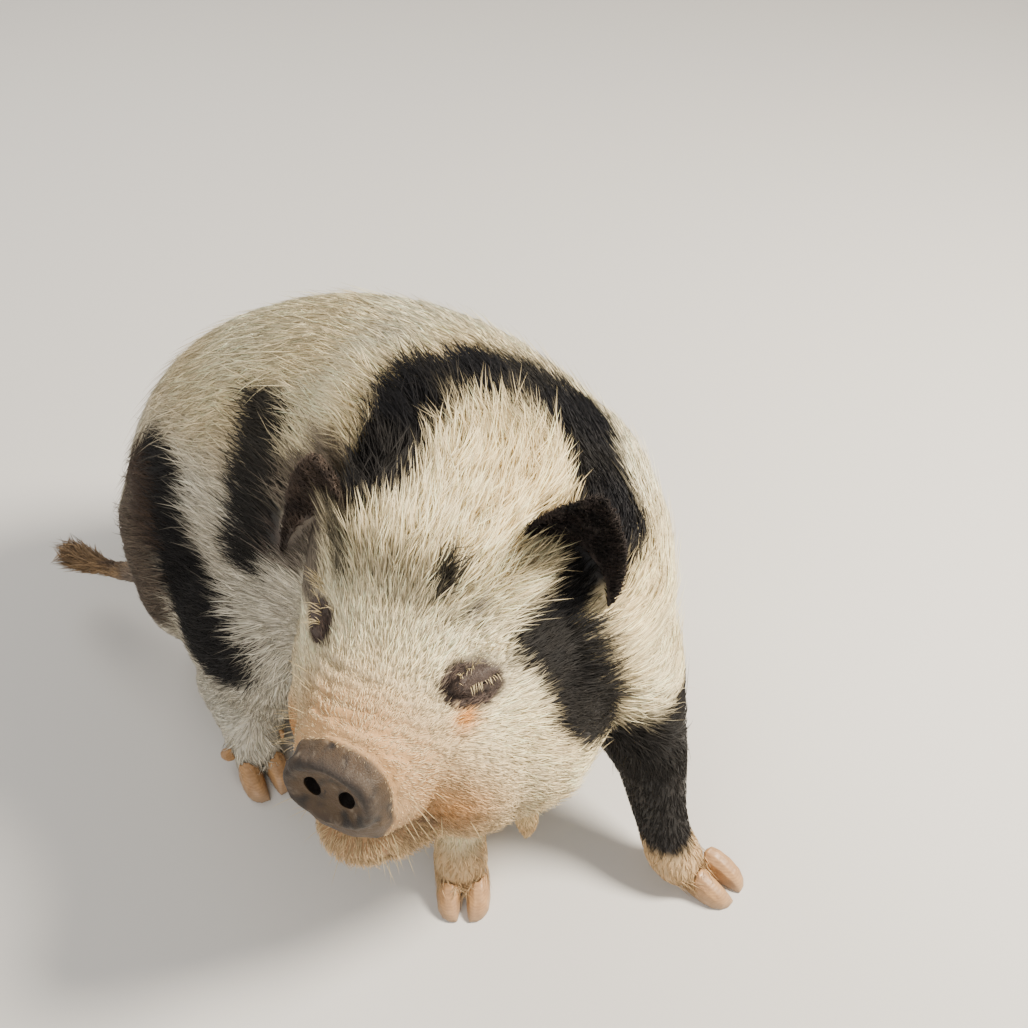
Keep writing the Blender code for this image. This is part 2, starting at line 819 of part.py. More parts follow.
def tail():
    """A short tail laid out behind, with a plain tuft."""
    rows = (
        (-0.052, 0.340, 0.135, 0.015, 0.015),
        (-0.064, 0.372, 0.128, 0.012, 0.012),
        (-0.072, 0.400, 0.116, 0.009, 0.009),
        (-0.076, 0.430, 0.104, 0.0075, 0.0075),
        (-0.078, 0.462, 0.094, 0.010, 0.007),
        (-0.079, 0.490, 0.086, 0.007, 0.005),
        (-0.080, 0.510, 0.080, 0.002, 0.0016),
    )
    return limb("tail", rows, (0, 0, 1), sides=10, steps=2)


def tassel(name, side):
    """The hanging wattle under the jaw."""
    top = head_point(TASSEL_PLACE[0], side * TASSEL_PLACE[1], TASSEL_PLACE[2])
    rows = (
        (*top, 0.010, 0.010),
        (*(top + Vector((0.002, -0.004, -0.024))), 0.0100, 0.0100),
        (*(top + Vector((0.003, -0.007, -0.052))), 0.0115, 0.0115),
        (*(top + Vector((0.002, -0.009, -0.073))), 0.0085, 0.0085),
        (*(top + Vector((0.000, -0.010, -0.088))), 0.0020, 0.0020),
    )
    return limb(name, rows, (0, 1, 0), sides=10, steps=1)


def sleeve(name, stations, wider):
    """A plain body round a leg, which marks off the flesh that belongs to it."""
    rows = [(*row[:3], row[3] * wider, row[4] * wider) for row in stations]
    for i, row in enumerate(rows):
        if row[2] < row[4] * 1.6:
            rows[i] = (*row[:3], max(row[3], FOOT_REGION_HALF), row[2] + FOOT_REGION_BELOW)
    toe = Vector(rows[-1][:3]) * 2 - Vector(rows[-2][:3])
    rows.append((*toe, *rows[-1][3:]))
    return limb(name, rows, (0, -1, 0.4), sides=10, steps=1)


def leg_regions():
    """Bodies that mark off the legs below the elbow and the ham, and then the thighs."""
    regions = {
        "left_foreleg": sleeve("region", LEFT_FORELEG[2:], 1.5),
        "right_foreleg": sleeve("region", RIGHT_FORELEG[2:], 1.5),
        "left_hind_leg": sleeve("region", LEFT_SHANK, 1.4),
        "right_hind_leg": sleeve("region", RIGHT_SHANK, 1.4),
    }
    for name, (centre, radii, turn) in (("left_thigh", LEFT_HAM), ("right_thigh", RIGHT_HAM)):
        wider = [r * 1.06 for r in radii]
        regions[name] = ball("region", centre, wider, Matrix.Rotation(turn, 3, "Z"), 6, 12)
    return regions


def head_region():
    """A body that marks off the head, ending in a flat face behind the ears."""
    rings = []
    for forward, half_width, top, bottom in (
        (0.175, 0.060, 0.040, -0.130),
        (0.120, 0.110, 0.060, -0.200),
        (0.060, 0.160, 0.120, -0.240),
        (-0.010, 0.190, 0.180, -0.250),
        (-0.070, 0.196, 0.200, -0.250),
        (-0.118, 0.196, 0.200, -0.245),
    ):
        middle, half_height = (top + bottom) / 2, (top - bottom) / 2
        ring = []
        for k in range(14):
            angle = 2 * math.pi * k / 14
            ring.append(
                head_point(
                    forward,
                    half_width * boxy(math.cos(angle)),
                    middle + half_height * boxy(math.sin(angle)),
                )
            )
        rings.append(ring)
    return tube("region", rings)


def neck_region():
    """A body that marks off the neck between the head's flat back and the withers."""
    turn = Matrix.Rotation(NECK_REGION_TURN, 3, "Z")
    return ball("region", NECK_REGION_CENTRE, NECK_REGION_RADII, turn, 7, 14)


def split_off(body, region, name):
    """Takes the part of the body inside the region away as a piece of its own."""
    piece = copy_of(body, name)
    boolean(piece, copy_of(region, "cutter"), "INTERSECT")
    keep_largest(piece)
    boolean(body, grown(region, "cutter", GAP), "DIFFERENCE")
    remove(region)
    return piece


def trunk_direction(point):
    """The way the coat runs on the trunk: to the tail, and down the sides."""
    rows = np.array(TRUNK)
    nearest = int(np.argmin((rows[:, 1] - point.y) ** 2 + (rows[:, 0] - point.x) ** 2))
    low, high = max(nearest - 1, 0), min(nearest + 1, len(rows) - 1)
    back = Vector(rows[low, :3] - rows[high, :3]).normalized()
    aside = abs(point.x - rows[nearest, 0]) / rows[nearest, 3]
    return (back + Vector((0, 0, -0.40 * min(aside, 1.0)))).normalized()


def lie_of_coat(point):
    """The way the coat runs at a point: outward from the face, then back along the body."""
    away = (point - head_point(*HAIR_PARTS_AT)).normalized()
    trunk_way = trunk_direction(point)
    offset = point - head_point(FACE_COAT_ENDS, 0, 0)
    behind = -offset.dot(head_direction(1, 0, 0))
    share = min(max(behind / COAT_TURNS_OVER + 0.5, 0.0), 1.0)
    return away.lerp(trunk_way, share).normalized()


def lock(name, tree, root, normal, way, length, width, rise, bend):
    """One flat, tapered lock with a low ridge, sunk at its root, bending along the body to its tip."""
    side = normal.cross(way).normalized()
    way = side.cross(normal).normalized()
    rings = []
    for reach, wide, thick, height in LOCK_SHAPE:
        spot = root + way * reach * length + side * bend * reach * reach
        near, up, _, _ = tree.find_nearest(spot + normal * 0.01)
        here = near + up * rise * height
        if reach == 0:
            here, up = root - normal * LOCK_SINK, normal
        half, slab = width * 0.5 * wide, LOCK_THICKNESS * thick
        ridge = here + side * half * 0.15 + up * slab * 0.6
        low = here - up * slab * 0.4
        rings.append([low + side * half, ridge, low - side * half])
    near, up, _, _ = tree.find_nearest(root + way * length + side * bend + normal * 0.01)
    sides = len(rings[0])
    points = [p for ring in rings for p in ring] + [near + up * rise * LOCK_TIP_RISE]
    faces = [tuple(reversed(range(sides)))]
    for i in range(len(rings) - 1):
        for k in range(sides):
            a, b = i * sides + k, i * sides + (k + 1) % sides
            faces.append((a, b, b + sides, a + sides))
    last = (len(rings) - 1) * sides
    for k in range(sides):
        faces.append((last + k, last + (k + 1) % sides, len(points) - 1))
    obj = mesh_object(name, points, faces)
    outward(obj)
    return obj


def roots_on(body, spacing, wanted, rng, tries=9000):
    """Spots spread evenly over the part of the skin that is wanted."""
    mesh = body.data
    mesh.calc_loop_triangles()
    corners = np.array([[mesh.vertices[i].co for i in t.vertices] for t in mesh.loop_triangles])
    crossed = np.cross(corners[:, 1] - corners[:, 0], corners[:, 2] - corners[:, 0])
    areas = np.linalg.norm(crossed, axis=1)
    edges = np.cumsum(areas) / areas.sum()
    kept = []
    for _ in range(tries):
        i = int(np.searchsorted(edges, rng.random()))
        u, v = rng.random(), rng.random()
        if u + v > 1:
            u, v = 1 - u, 1 - v
        a, b, c = (Vector(p) for p in corners[min(i, len(corners) - 1)])
        point = a + (b - a) * u + (c - a) * v
        normal = (b - a).cross(c - a).normalized()
        if wanted(point, normal) and all((point - other).length > spacing for other, _ in kept):
            kept.append((point, normal))
    return kept


def in_head_frame(point):
    offset = point - HEAD_PLACE
    return Vector((offset.dot(head_direction(1, 0, 0)), offset.dot(head_direction(0, 1, 0)), offset.z))


def on_crest(point, normal):
    """The forehead, the poll and the top of the neck."""
    forward, left, up = in_head_frame(point)
    near = CREST_BACK < forward < CREST_FRONT and abs(left) < CREST_HALF_WIDTH
    return near and up > CREST_BOTTOM and normal.z > 0.10


def on_trunk(point, normal):
    """The back, flanks, rump, shoulders, thighs and neck, clear of the face and the ground."""
    forward, left, up = in_head_frame(point)
    if point.z < LOCK_LOWEST or normal.z < -0.45 or on_crest(point, normal):
        return False
    if forward > FACE_ENDS and -0.19 < left < 0.21:
        return False
    return point.y > -0.17 or point.z > 0.22


def nearest_node(point, trees):
    return min(trees, key=lambda name: trees[name].find_nearest(point)[3])


def leaves_over(root, side, way, width, node, trees):
    """Whether a lock leaves the skin over its own node."""
    for ahead in (-LOCK_SINK, LOCK_CLEAR * 0.5, LOCK_CLEAR):
        for aside in (-0.5, 0.5):
            if nearest_node(root + way * ahead + side * aside * width, trees) != node:
                return False
    return True


def with_gap(obj):
    """A search tree over the surface of a mesh moved out by the gap."""
    twin = grown(obj, "twin", GAP)
    tree = surface_tree(twin)
    remove(twin)
    return tree


def add_locks(body, nodes, small):
    """Grows locks over the whole body and joins each to the node that its root is in. A lock that
    would cross another node, or a lock of another node, is left out."""
    rng = random.Random(SEED)
    tree = surface_tree(body)
    trees = {obj.name: surface_tree(obj) for obj in nodes}
    walls = [(obj.name, with_gap(obj)) for obj in nodes + small]
    made = {obj.name: [] for obj in nodes}
    for spacing, wanted, length, width, rise, bending in (
        (CREST_SPACING, on_crest, CREST_LENGTH, CREST_WIDTH, CREST_RISE, CREST_BEND),
        (LOCK_SPACING, on_trunk, LOCK_LENGTH, LOCK_WIDTH, LOCK_RISE, LOCK_BEND),
    ):
        for root, normal in roots_on(body, spacing, wanted, rng):
            way = lie_of_coat(root)
            way.rotate(Matrix.Rotation(rng.uniform(-LOCK_STRAY, LOCK_STRAY), 3, normal))
            scale = rng.uniform(*LOCK_SIZES)
            long, wide = length * scale, width * scale
            bend = rng.uniform(-bending, bending)
            side = normal.cross(way).normalized()
            node = nearest_node(root, trees)
            tip = root + side.cross(normal) * long
            if node not in HAIRY or tip.z < LOCK_LOWEST * 0.4:
                continue
            if not leaves_over(root, side, side.cross(normal), wide, node, trees):
                continue
            obj = lock("lock", tree, root, normal, way, long, wide, rise, bend)
            here = with_gap(obj)
            if any(name != node and here.overlap(wall) for name, wall in walls):
                remove(obj)
                continue
            walls.append((node, here))
            made[node].append(obj)
    for obj in nodes:
        if made[obj.name]:
            join_all(obj, made[obj.name])


def join_all(body, pieces):
    """Joins many pieces to a body in one union."""
    holder = bpy.data.collections.new("locks")
    bpy.context.scene.collection.children.link(holder)
    for piece in pieces:
        bpy.context.collection.objects.unlink(piece)
        holder.objects.link(piece)
    modifier = body.modifiers.new("locks", "BOOLEAN")
    modifier.operation = "UNION"
    modifier.operand_type = "COLLECTION"
    modifier.collection = holder
    modifier.solver = "MANIFOLD"
    bake(body)
    remove(*pieces)
    bpy.data.collections.remove(holder)
    on_ground(body)
    simplified(body, NEARLY_FLAT_ANGLE)


def paint(obj):
    """Gives a node its own surface, with the colour of that part of the animal."""
    for ending, colour, roughness in SURFACES:
        if obj.name.endswith(ending):
            break
    material = bpy.data.materials.new(obj.name)
    material.use_nodes = True
    shader = material.node_tree.nodes["Principled BSDF"]
    shader.inputs["Base Color"].default_value = (*colour, 1.0)
    shader.inputs["Roughness"].default_value = roughness
    shader.inputs["Metallic"].default_value = 0.0
    obj.data.materials.clear()
    obj.data.materials.append(material)
    obj.data.shade_smooth()
    obj.data.set_sharp_from_angle(angle=SHARP_ANGLE)


def settle():
    """Moves everything so that the middle of the footprint is the origin."""
    points = [v.co for o in bpy.data.objects for v in o.data.vertices]
    low = [min(p[i] for p in points) for i in range(3)]
    high = [max(p[i] for p in points) for i in range(3)]
    move = Matrix.Translation((-(low[0] + high[0]) / 2, -(low[1] + high[1]) / 2, -low[2]))
    for obj in bpy.data.objects:
        obj.data.transform(move)
    return move.translation


def main():
    clear_scene()
    body = flesh()
    tree = surface_tree(body)
    places = eye_places(tree)
    for place, out in places:
        boolean(body, lids(place, out), "UNION")
    boolean(body, snout_face(), "DIFFERENCE")
    boolean(body, disc(), "UNION")
    for lip in lips(tree):
        boolean(body, lip, "UNION")
    for place, out in places:
        boolean(body, eye_slit(place, out), "DIFFERENCE")
    for hole in nostrils():
        boolean(body, hole, "DIFFERENCE")
    boolean(body, mouth_line(tree), "DIFFERENCE")
    keep_largest(body)
    small = [trimmed(ear(*spec), body) for spec in EARS]
    for side, word in ((1, "left"), (-1, "right")):
        small.append(trimmed(tassel(f"{word}_tassel", side), body))
    small.append(trimmed(tail(), body))
    for word, (place, out) in zip(("left", "right"), places):
        small.append(ball(f"{word}_eye", place, (EYE_RADIUS,) * 3, frame_of(out), 8, 14))
    small += feet(body)
    whole = copy_of(body, "whole")
    nodes = [split_off(body, region, name) for name, region in leg_regions().items()]
    nodes.append(split_off(body, head_region(), "head"))
    nodes.append(split_off(body, neck_region(), "neck"))
    nodes.append(keep_largest(body))
    add_locks(whole, nodes, small)
    remove(whole)
    for obj in bpy.data.objects:
        simplified(obj, FLAT_ANGLE)
        paint(obj)
    settle()


main()
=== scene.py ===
"""A sitting kunekune pig as a museum shows one: its hide, ears, eyes, hooves, tail and coat of bristles."""

import math

import bmesh
import bpy
import numpy as np
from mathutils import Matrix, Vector, noise
from mathutils.bvhtree import BVHTree


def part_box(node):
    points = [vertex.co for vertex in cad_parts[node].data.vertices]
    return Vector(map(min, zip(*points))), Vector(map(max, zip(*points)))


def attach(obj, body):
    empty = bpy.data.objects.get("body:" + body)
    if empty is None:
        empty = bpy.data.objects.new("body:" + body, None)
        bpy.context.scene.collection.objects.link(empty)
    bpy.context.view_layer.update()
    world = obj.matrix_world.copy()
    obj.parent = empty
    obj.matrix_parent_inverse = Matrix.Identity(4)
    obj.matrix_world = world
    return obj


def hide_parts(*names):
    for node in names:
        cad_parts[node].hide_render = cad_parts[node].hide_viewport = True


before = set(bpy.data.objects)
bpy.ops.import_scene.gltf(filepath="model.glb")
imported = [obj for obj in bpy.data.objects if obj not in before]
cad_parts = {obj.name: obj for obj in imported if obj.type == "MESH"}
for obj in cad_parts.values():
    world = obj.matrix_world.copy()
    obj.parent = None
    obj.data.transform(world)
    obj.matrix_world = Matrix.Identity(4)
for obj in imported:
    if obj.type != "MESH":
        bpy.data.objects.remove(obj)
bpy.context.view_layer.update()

# The nodes that one skin stands for, and the pairs
FLESH = ("torso", "neck", "head", "left_thigh", "right_thigh")
FLESH += ("left_foreleg", "right_foreleg", "left_hind_leg", "right_hind_leg")
EYES = ("left_eye", "right_eye")
EARS = ("left_ear", "right_ear")
SEED = 7

# Where the middle between the eyes stands in the frame that the measures below are given in
EYES_MIDDLE = np.array((-0.07705, -0.08125, 0.0))


def middle_of(node):
    low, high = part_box(node)
    return (np.array(low) + np.array(high)) / 2


SHIFT = (middle_of(EYES[0]) + middle_of(EYES[1])) / 2 - EYES_MIDDLE
SHIFT[2] = 0.0

# The head's own frame: where it starts, and its forward and left directions
HEAD_PLACE = np.array((-0.067, -0.078, 0.360))
HEAD_YAW = math.radians(195.0)
FORWARD = np.array((math.cos(HEAD_YAW), math.sin(HEAD_YAW), 0.0))
LEFTWARD = np.array((-math.sin(HEAD_YAW), math.cos(HEAD_YAW), 0.0))
SNOUT_TILT = math.radians(10.0)
DISC_CENTRE = (0.131, 0.0, -0.045)

# The line of the back, from the chest to the tail
SPINE = np.array(
    (
        (0.104, -0.215, 0.265),
        (0.112, -0.120, 0.300),
        (0.118, -0.010, 0.298),
        (0.113, 0.094, 0.274),
        (0.096, 0.196, 0.240),
        (0.040, 0.290, 0.170),
        (-0.050, 0.352, 0.120),
    )
)

# Radius of an eye's ball, the room round it, how deep it is set, the thickness of the lid over
# it, and half the slit's length, width and depth
EYE = 0.0110
EYE_ROOM = 0.0004
EYE_DEPTH = 0.0016
LID_THICKNESS = 0.0016
SLIT = (0.0165, 0.0020, 0.0140)

# Size of the faces of the hide and rounds of relaxing, first coarse, then fine
HIDE_GRIDS = ((0.0085, 6), (0.0049, 4))

# In the search for flesh: the most walls that are passed, the widest gap between nodes, the height
# of a lock over the flesh, the depth that is searched, the least thickness of flesh and the most
# that the skin may sink
MOST_WALLS = 14
NODE_GAP = 0.0013
LOCK_HEIGHT = 0.006
SEARCH_DEPTH = 0.014
FLESH_THICKNESS = 0.012
MOST_SINK = 0.0125

# The least height of the hide over the ground
HIDE_CLEAR = 0.0006

# Groove of the mouth: half its width, its depth and the height of the lips' rolls
MOUTH_GROOVE = (0.0019, 0.0042, 0.0013)

# The photo's camera: width and focal length in pixels, place, and angles down and round
PHOTO_WIDTH = 1028.0
PHOTO_FOCUS = 1300.0
CAMERA_PLACE = (-0.56, -0.62, 1.28)
CAMERA_DOWN = math.radians(46.0)
CAMERA_TURN = math.radians(50.0)

# Mouth line: side, forward, across and up in the head's frame, from corner to corner
MOUTH = (
    (-1, 0.044, 0.088, -0.114),
    (-1, 0.068, 0.078, -0.121),
    (-1, 0.098, 0.058, -0.120),
    (-1, 0.121, 0.034, -0.116),
    (1, 0.133, 0.000, -0.113),
    (1, 0.121, 0.034, -0.116),
    (1, 0.098, 0.058, -0.120),
    (1, 0.068, 0.078, -0.121),
    (1, 0.044, 0.088, -0.114),
)

# Toes of the four feet and the ways they point
FEET = (
    ((0.104, -0.372), math.radians(-88.0)),
    ((-0.104, -0.168), math.radians(220.0)),
    ((0.248, 0.150), math.radians(-75.0)),
    ((-0.128, 0.094), math.radians(-112.0)),
)

# Middles of the forelegs, from the shoulder to the foot
LEFT_LEG = (
    (0.120, -0.205, 0.190),
    (0.102, -0.262, 0.090),
    (0.087, -0.300, 0.034),
    (0.096, -0.345, 0.015),
)
RIGHT_LEG = (
    (-0.020, -0.100, 0.180),
    (-0.044, -0.114, 0.088),
    (-0.062, -0.129, 0.034),
    (-0.095, -0.158, 0.015),
)

# The share of its length that a tuft keeps where an ear is in its way
STUB = 0.30

# How far tufts vary in length and in shade, how thick they are for their width, and how near
# to the ground they may come
TUFT_LENGTHS = (0.70, 1.28)
TUFT_SHADES = (0.56, 1.24)
TUFT_THICKNESS = 0.42
GROUND_CLEAR = 0.0012

# How deep a tuft's root stands in the skin
ROOT_DEPTH = 0.0015

# Half the size of a tuft's patch on the skin's unwrap
PATCH_HALF = 0.0015

# Width of a lash, a whisker or a bristle of the brow
BRISTLE_WIDTH = 0.0006

# The eye's colours from the pupil outward: the share of a quarter turn, and the colour
GAZE = (
    (0.22, (0.006, 0.004, 0.004)),
    (0.27, (0.13, 0.055, 0.020)),
    (0.50, (0.20, 0.09, 0.03)),
    (0.56, (0.03, 0.015, 0.010)),
    (0.66, (0.34, 0.22, 0.16)),
)

# Folds of the lids: height over the slit, bow of the arc, depth
LID_FOLDS = (
    (0.0125, 0.34, 0.0016),
    (0.0195, 0.30, 0.0013),
    (-0.0125, -0.34, 0.0014),
    (-0.0190, -0.26, 0.0009),
)

# Half the width and height of the snout's plate, its level over the plate's frame, and a
# nostril's distance from its middle, half its width, height and depth, and its lean
PLATE_HALF = (0.0450, 0.0350)
PLATE_LEVEL = 0.0108
NOSTRIL_PLACE = 0.0170
NOSTRIL = (0.0084, 0.0112, 0.0200)
NOSTRIL_LEAN = math.radians(-18.0)

# How many tufts grow on an ear, and how many places are tried for how many whiskers
EAR_TUFTS = 3800
WHISKERS_TRIED = 4200
WHISKERS = 130

# The length of the tail's root that is drawn into the rump, and how far
TAIL_ROOT = 0.030
TAIL_INWARD = np.array((0.010, -0.028, 0.004))

# Colours of hair and bare skin, and of painted shade
CREAM = (0.87, 0.70, 0.40)
WHITE = (0.93, 0.82, 0.56)
STRAW = (0.66, 0.51, 0.28)
GREY = (0.26, 0.24, 0.22)
BLACK = (0.008, 0.008, 0.010)
BROWN = (0.080, 0.052, 0.036)
TAN = (0.62, 0.40, 0.20)
GINGER = (0.62, 0.26, 0.060)
# Dark brown hair, deepened as painted shade beside the right ear
DARK_HAIR_AND_SHADE = (0.115, 0.088, 0.072)
PINK = (0.54, 0.300, 0.125)
LID = (0.082, 0.058, 0.048)
DIRT = (0.035, 0.028, 0.024)
WARM_STRAW = (0.78, 0.62, 0.36)
# Painted shade: the grey of the body's side in shade
FLANK_SHADE_GREY = (0.70, 0.68, 0.64)
JAW_CREAM = (0.84, 0.66, 0.40)
MOUTH_STAIN = (0.10, 0.060, 0.035)
CHIN_SKIN = (0.20, 0.125, 0.075)
PLATE_SKIN = (0.013, 0.010, 0.008)
DRY_MUD = (0.34, 0.27, 0.20)
NOSTRIL_SKIN = (0.012, 0.009, 0.008)
CALLUS = (0.62, 0.50, 0.36)
VEIN = (0.05, 0.02, 0.012)
LIP = (0.09, 0.055, 0.04)
HAIR_DUST = (0.045, 0.034, 0.022)
HOOF_DUST = (0.30, 0.24, 0.18)
HORN = ((0.52, 0.290, 0.125), (0.32, 0.175, 0.080))
EAR_COLOURS = {
    "left_ear": ((0.012, 0.010, 0.010), (0.060, 0.043, 0.036)),
    "right_ear": ((0.045, 0.034, 0.029), (0.19, 0.135, 0.10)),
}

# Bands of another colour in the coat, one of them painted shade and two partly painted shade: points along
# the middle, half the width, colour, strength
BANDS = (
    (((-0.034, -0.008, 0.470), (0.007, -0.014, 0.490), (0.045, -0.014, 0.503)), 0.031, BLACK, 0.99),
    (((0.045, -0.014, 0.503), (0.075, -0.026, 0.520), (0.110, -0.045, 0.533)), 0.034, BLACK, 0.97),
    (((0.110, -0.045, 0.533), (0.145, -0.078, 0.508), (0.156, -0.116, 0.482)), 0.038, BLACK, 0.98),
    (((0.150, -0.120, 0.482), (0.120, -0.165, 0.470), (0.096, -0.190, 0.445)), 0.036, BLACK, 0.99),
    (((0.096, -0.190, 0.445), (0.050, -0.185, 0.440), (0.030, -0.182, 0.425)), 0.032, BLACK, 0.99),
    (
        ((0.000, -0.182, 0.392), (0.010, -0.200, 0.345), (0.015, -0.215, 0.300), (0.028, -0.226, 0.268)),
        0.032,
        BLACK,
        0.99,
    ),
    (((0.000, 0.150, 0.452), (-0.035, 0.134, 0.392), (-0.058, 0.130, 0.325)), 0.030, BLACK, 0.97),
    (
        ((-0.055, 0.292, 0.335), (-0.076, 0.252, 0.275), (-0.090, 0.215, 0.225), (-0.100, 0.180, 0.180)),
        0.052,
        BLACK,
        0.99,
    ),
    (((-0.065, 0.335, 0.320), (-0.088, 0.322, 0.240), (-0.092, 0.312, 0.160)), 0.050, BROWN, 0.90),
    # Painted shade: a grey band in the fold between the neck and the back
    (((0.045, 0.083, 0.520), (0.070, 0.070, 0.530), (0.100, 0.064, 0.535)), 0.011, GREY, 0.50),
    (((-0.046, 0.000, 0.446), (-0.064, -0.010, 0.424), (-0.072, -0.015, 0.404)), 0.010, BLACK, 0.80),
    (((-0.028, -0.092, 0.468), (-0.038, -0.098, 0.450), (-0.048, -0.103, 0.427)), 0.0062, BLACK, 0.95),
    (((-0.043, -0.132, 0.420), (-0.045, -0.133, 0.412)), 0.0050, GREY, 0.70),
    # Partly painted shade: dark hair at the temple and below the right ear, darkened further for the deep
    # shade beside that ear
    (((-0.030, 0.052, 0.460), (-0.055, 0.046, 0.420), (-0.070, 0.040, 0.385)), 0.036, DARK_HAIR_AND_SHADE, 0.88),
    (((-0.030, 0.076, 0.420), (-0.040, 0.083, 0.375), (-0.048, 0.085, 0.345)), 0.026, DARK_HAIR_AND_SHADE, 0.85),
    (((0.262, 0.110, 0.330), (0.262, 0.170, 0.250), (0.230, 0.230, 0.180)), 0.042, BLACK, 0.99),
    (((0.150, 0.330, 0.260), (0.140, 0.345, 0.180)), 0.050, BROWN, 0.80),
)

# Lid patches in the head's frame: middle and reach
LID_PATCHES = (((0.018, 0.076, 0.010), 0.037), ((0.012, -0.073, 0.012), 0.034))


def placed(points):
    """Points of the measures' frame, in the model's frame."""
    return np.asarray(points, float) + SHIFT


def head_point(forward, left, up):
    return HEAD_PLACE + FORWARD * forward + LEFTWARD * left + np.array((0.0, 0.0, up))


# The mouth line in the measures' frame
MOUTH_ROUTE = [head_point(forward, side * left, up) for side, forward, left, up in MOUTH]


def in_head_frame(points):
    """How far points of the measures' frame are forward, to the left and up in the head's frame."""
    offset = points - HEAD_PLACE
    return offset @ FORWARD, offset @ LEFTWARD, offset[:, 2]


def unit(vectors):
    return vectors / np.maximum(np.linalg.norm(vectors, axis=-1, keepdims=True), 1e-9)


def smooth_step(value, start, end):
    t = np.clip((value - start) / (end - start), 0.0, 1.0)
    return t * t * (3 - 2 * t)


def speckle(points, scale, offset=0.0):
    """Smooth noise between -1 and 1 at each point."""
    places = (Vector((p[0] * scale + offset, p[1] * scale, p[2] * scale)) for p in points)
    return np.array([noise.noise(place) for place in places])


def away_from_line(points, line):
    """How far each point is from a broken line."""
    line = np.asarray(line, float)
    least = np.full(len(points), 9.0)
    for a, b in zip(line[:-1], line[1:]):
        span = b - a
        t = np.clip(((points - a) @ span) / (span @ span), 0.0, 1.0)
        least = np.minimum(least, np.linalg.norm(points - a - t[:, None] * span, axis=1))
    return least


def deselect():
    if bpy.context.mode != "OBJECT":
        bpy.ops.object.mode_set(mode="OBJECT")
    bpy.ops.object.select_all(action="DESELECT")


def choose(obj):
    deselect()
    obj.select_set(True)
    bpy.context.view_layer.objects.active = obj
    return obj


def apply_all(obj):
    choose(obj)
    for modifier in list(obj.modifiers):
        bpy.ops.object.modifier_apply(modifier=modifier.name)
    return obj


def even_out(obj, grid, rounds):
    """Faces of one size all over, on one closed skin."""
    remesh = obj.modifiers.new("even", "REMESH")
    remesh.mode = "VOXEL"
    remesh.voxel_size = grid
    relax = obj.modifiers.new("relax", "SMOOTH")
    relax.iterations = rounds
    return apply_all(obj)


def own_copy(node, name):
    """A copy of a CAD node as a piece of its own, with its corners merged."""
    obj = bpy.data.objects.new(name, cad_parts[node].data.copy())
    bpy.context.scene.collection.objects.link(obj)
    obj.data.materials.clear()
    choose(obj)
    bpy.ops.object.mode_set(mode="EDIT")
    bpy.ops.mesh.select_all(action="SELECT")
    bpy.ops.mesh.remove_doubles(threshold=0.00001)
    bpy.ops.object.mode_set(mode="OBJECT")
    return obj


def rows_of(source, name, width, kind=float):
    """One property of all the points, edges or corners of a mesh, a row for each."""
    flat = np.empty(len(source) * width, kind)
    source.foreach_get(name, flat)
    return flat.reshape(-1, width)


def points_of(obj):
    return rows_of(obj.data.vertices, "co", 3)


def normals_of(obj):
    return rows_of(obj.data.vertices, "normal", 3)


def set_points(obj, points):
    obj.data.vertices.foreach_set("co", np.ascontiguousarray(points, float).ravel())
    obj.data.update()


def averaged(obj, values, rounds, share=0.5):
    """Evens a value, or a row of values, out over neighbouring points of the mesh."""
    a, b = rows_of(obj.data.edges, "vertices", 2, np.int32).T
    count = np.bincount(a, minlength=len(values)) + np.bincount(b, minlength=len(values))
    values = np.array(values, float)
    flat = values.ndim == 1
    columns = values[:, None] if flat else values
    for _ in range(rounds):
        total = np.zeros_like(columns)
        for k in range(columns.shape[1]):
            total[:, k] = np.bincount(a, columns[b, k], len(columns))
            total[:, k] += np.bincount(b, columns[a, k], len(columns))
        mean = total / np.maximum(count, 1)[:, None]
        share_here = share if np.ndim(share) == 0 else share[:, None]
        columns = columns + (mean - columns) * share_here
    return columns[:, 0] if flat else columns


def surface_tree(*objects):
    """The faces of several objects, for finding the nearest place on any of them."""
    corners, faces = [], []
    for obj in objects:
        start = len(corners)
        corners += [v.co for v in obj.data.vertices]
        faces += [[start + i for i in p.vertices] for p in obj.data.polygons]
    return BVHTree.FromPolygons(corners, faces)


# Camera, floor and light


def set_camera():
    """The photo's view: from high up, in front and to the right of the animal."""
    data = bpy.data.cameras.new("view")
    data.sensor_width = 36.0
    data.lens = data.sensor_width * PHOTO_FOCUS / PHOTO_WIDTH
    data.clip_start = 0.01
    camera = bpy.data.objects.new("view", data)
    bpy.context.scene.collection.objects.link(camera)
    camera.location = Vector(placed(CAMERA_PLACE))
    down, turn = CAMERA_DOWN, CAMERA_TURN
    look = Vector((math.sin(turn) * math.cos(down), math.cos(turn) * math.cos(down), -math.sin(down)))
    camera.rotation_euler = look.to_track_quat("-Z", "Y").to_euler()
    bpy.context.scene.camera = camera


def set_floor():
    """A plain floor, just under the feet."""
    deselect()
    bpy.ops.mesh.primitive_plane_add(size=30.0, location=(0, 0, -0.0004))
    floor = bpy.context.active_object
    floor.name = "floor"
    floor.data.name = "floor"
    bpy.ops.object.transform_apply(location=True)
    surface, tree, shader = new_surface("studio_floor")
    feed(tree, shader, Base_Color=(0.62, 0.60, 0.57, 1.0), Roughness=0.9)
    floor.data.materials.append(surface)


def lamp(name, place, towards, size, watts, colour):
    """A round soft lamp that faces a place."""
    data = bpy.data.lights.new(name, "AREA")
    data.shape = "DISK"
    data.size = size
    data.energy = watts
    data.color = colour
    obj = bpy.data.objects.new(name, data)
    bpy.context.scene.collection.objects.link(obj)
    obj.location = Vector(placed(place))
    obj.rotation_euler = (Vector(towards) - Vector(place)).to_track_quat("-Z", "Y").to_euler()


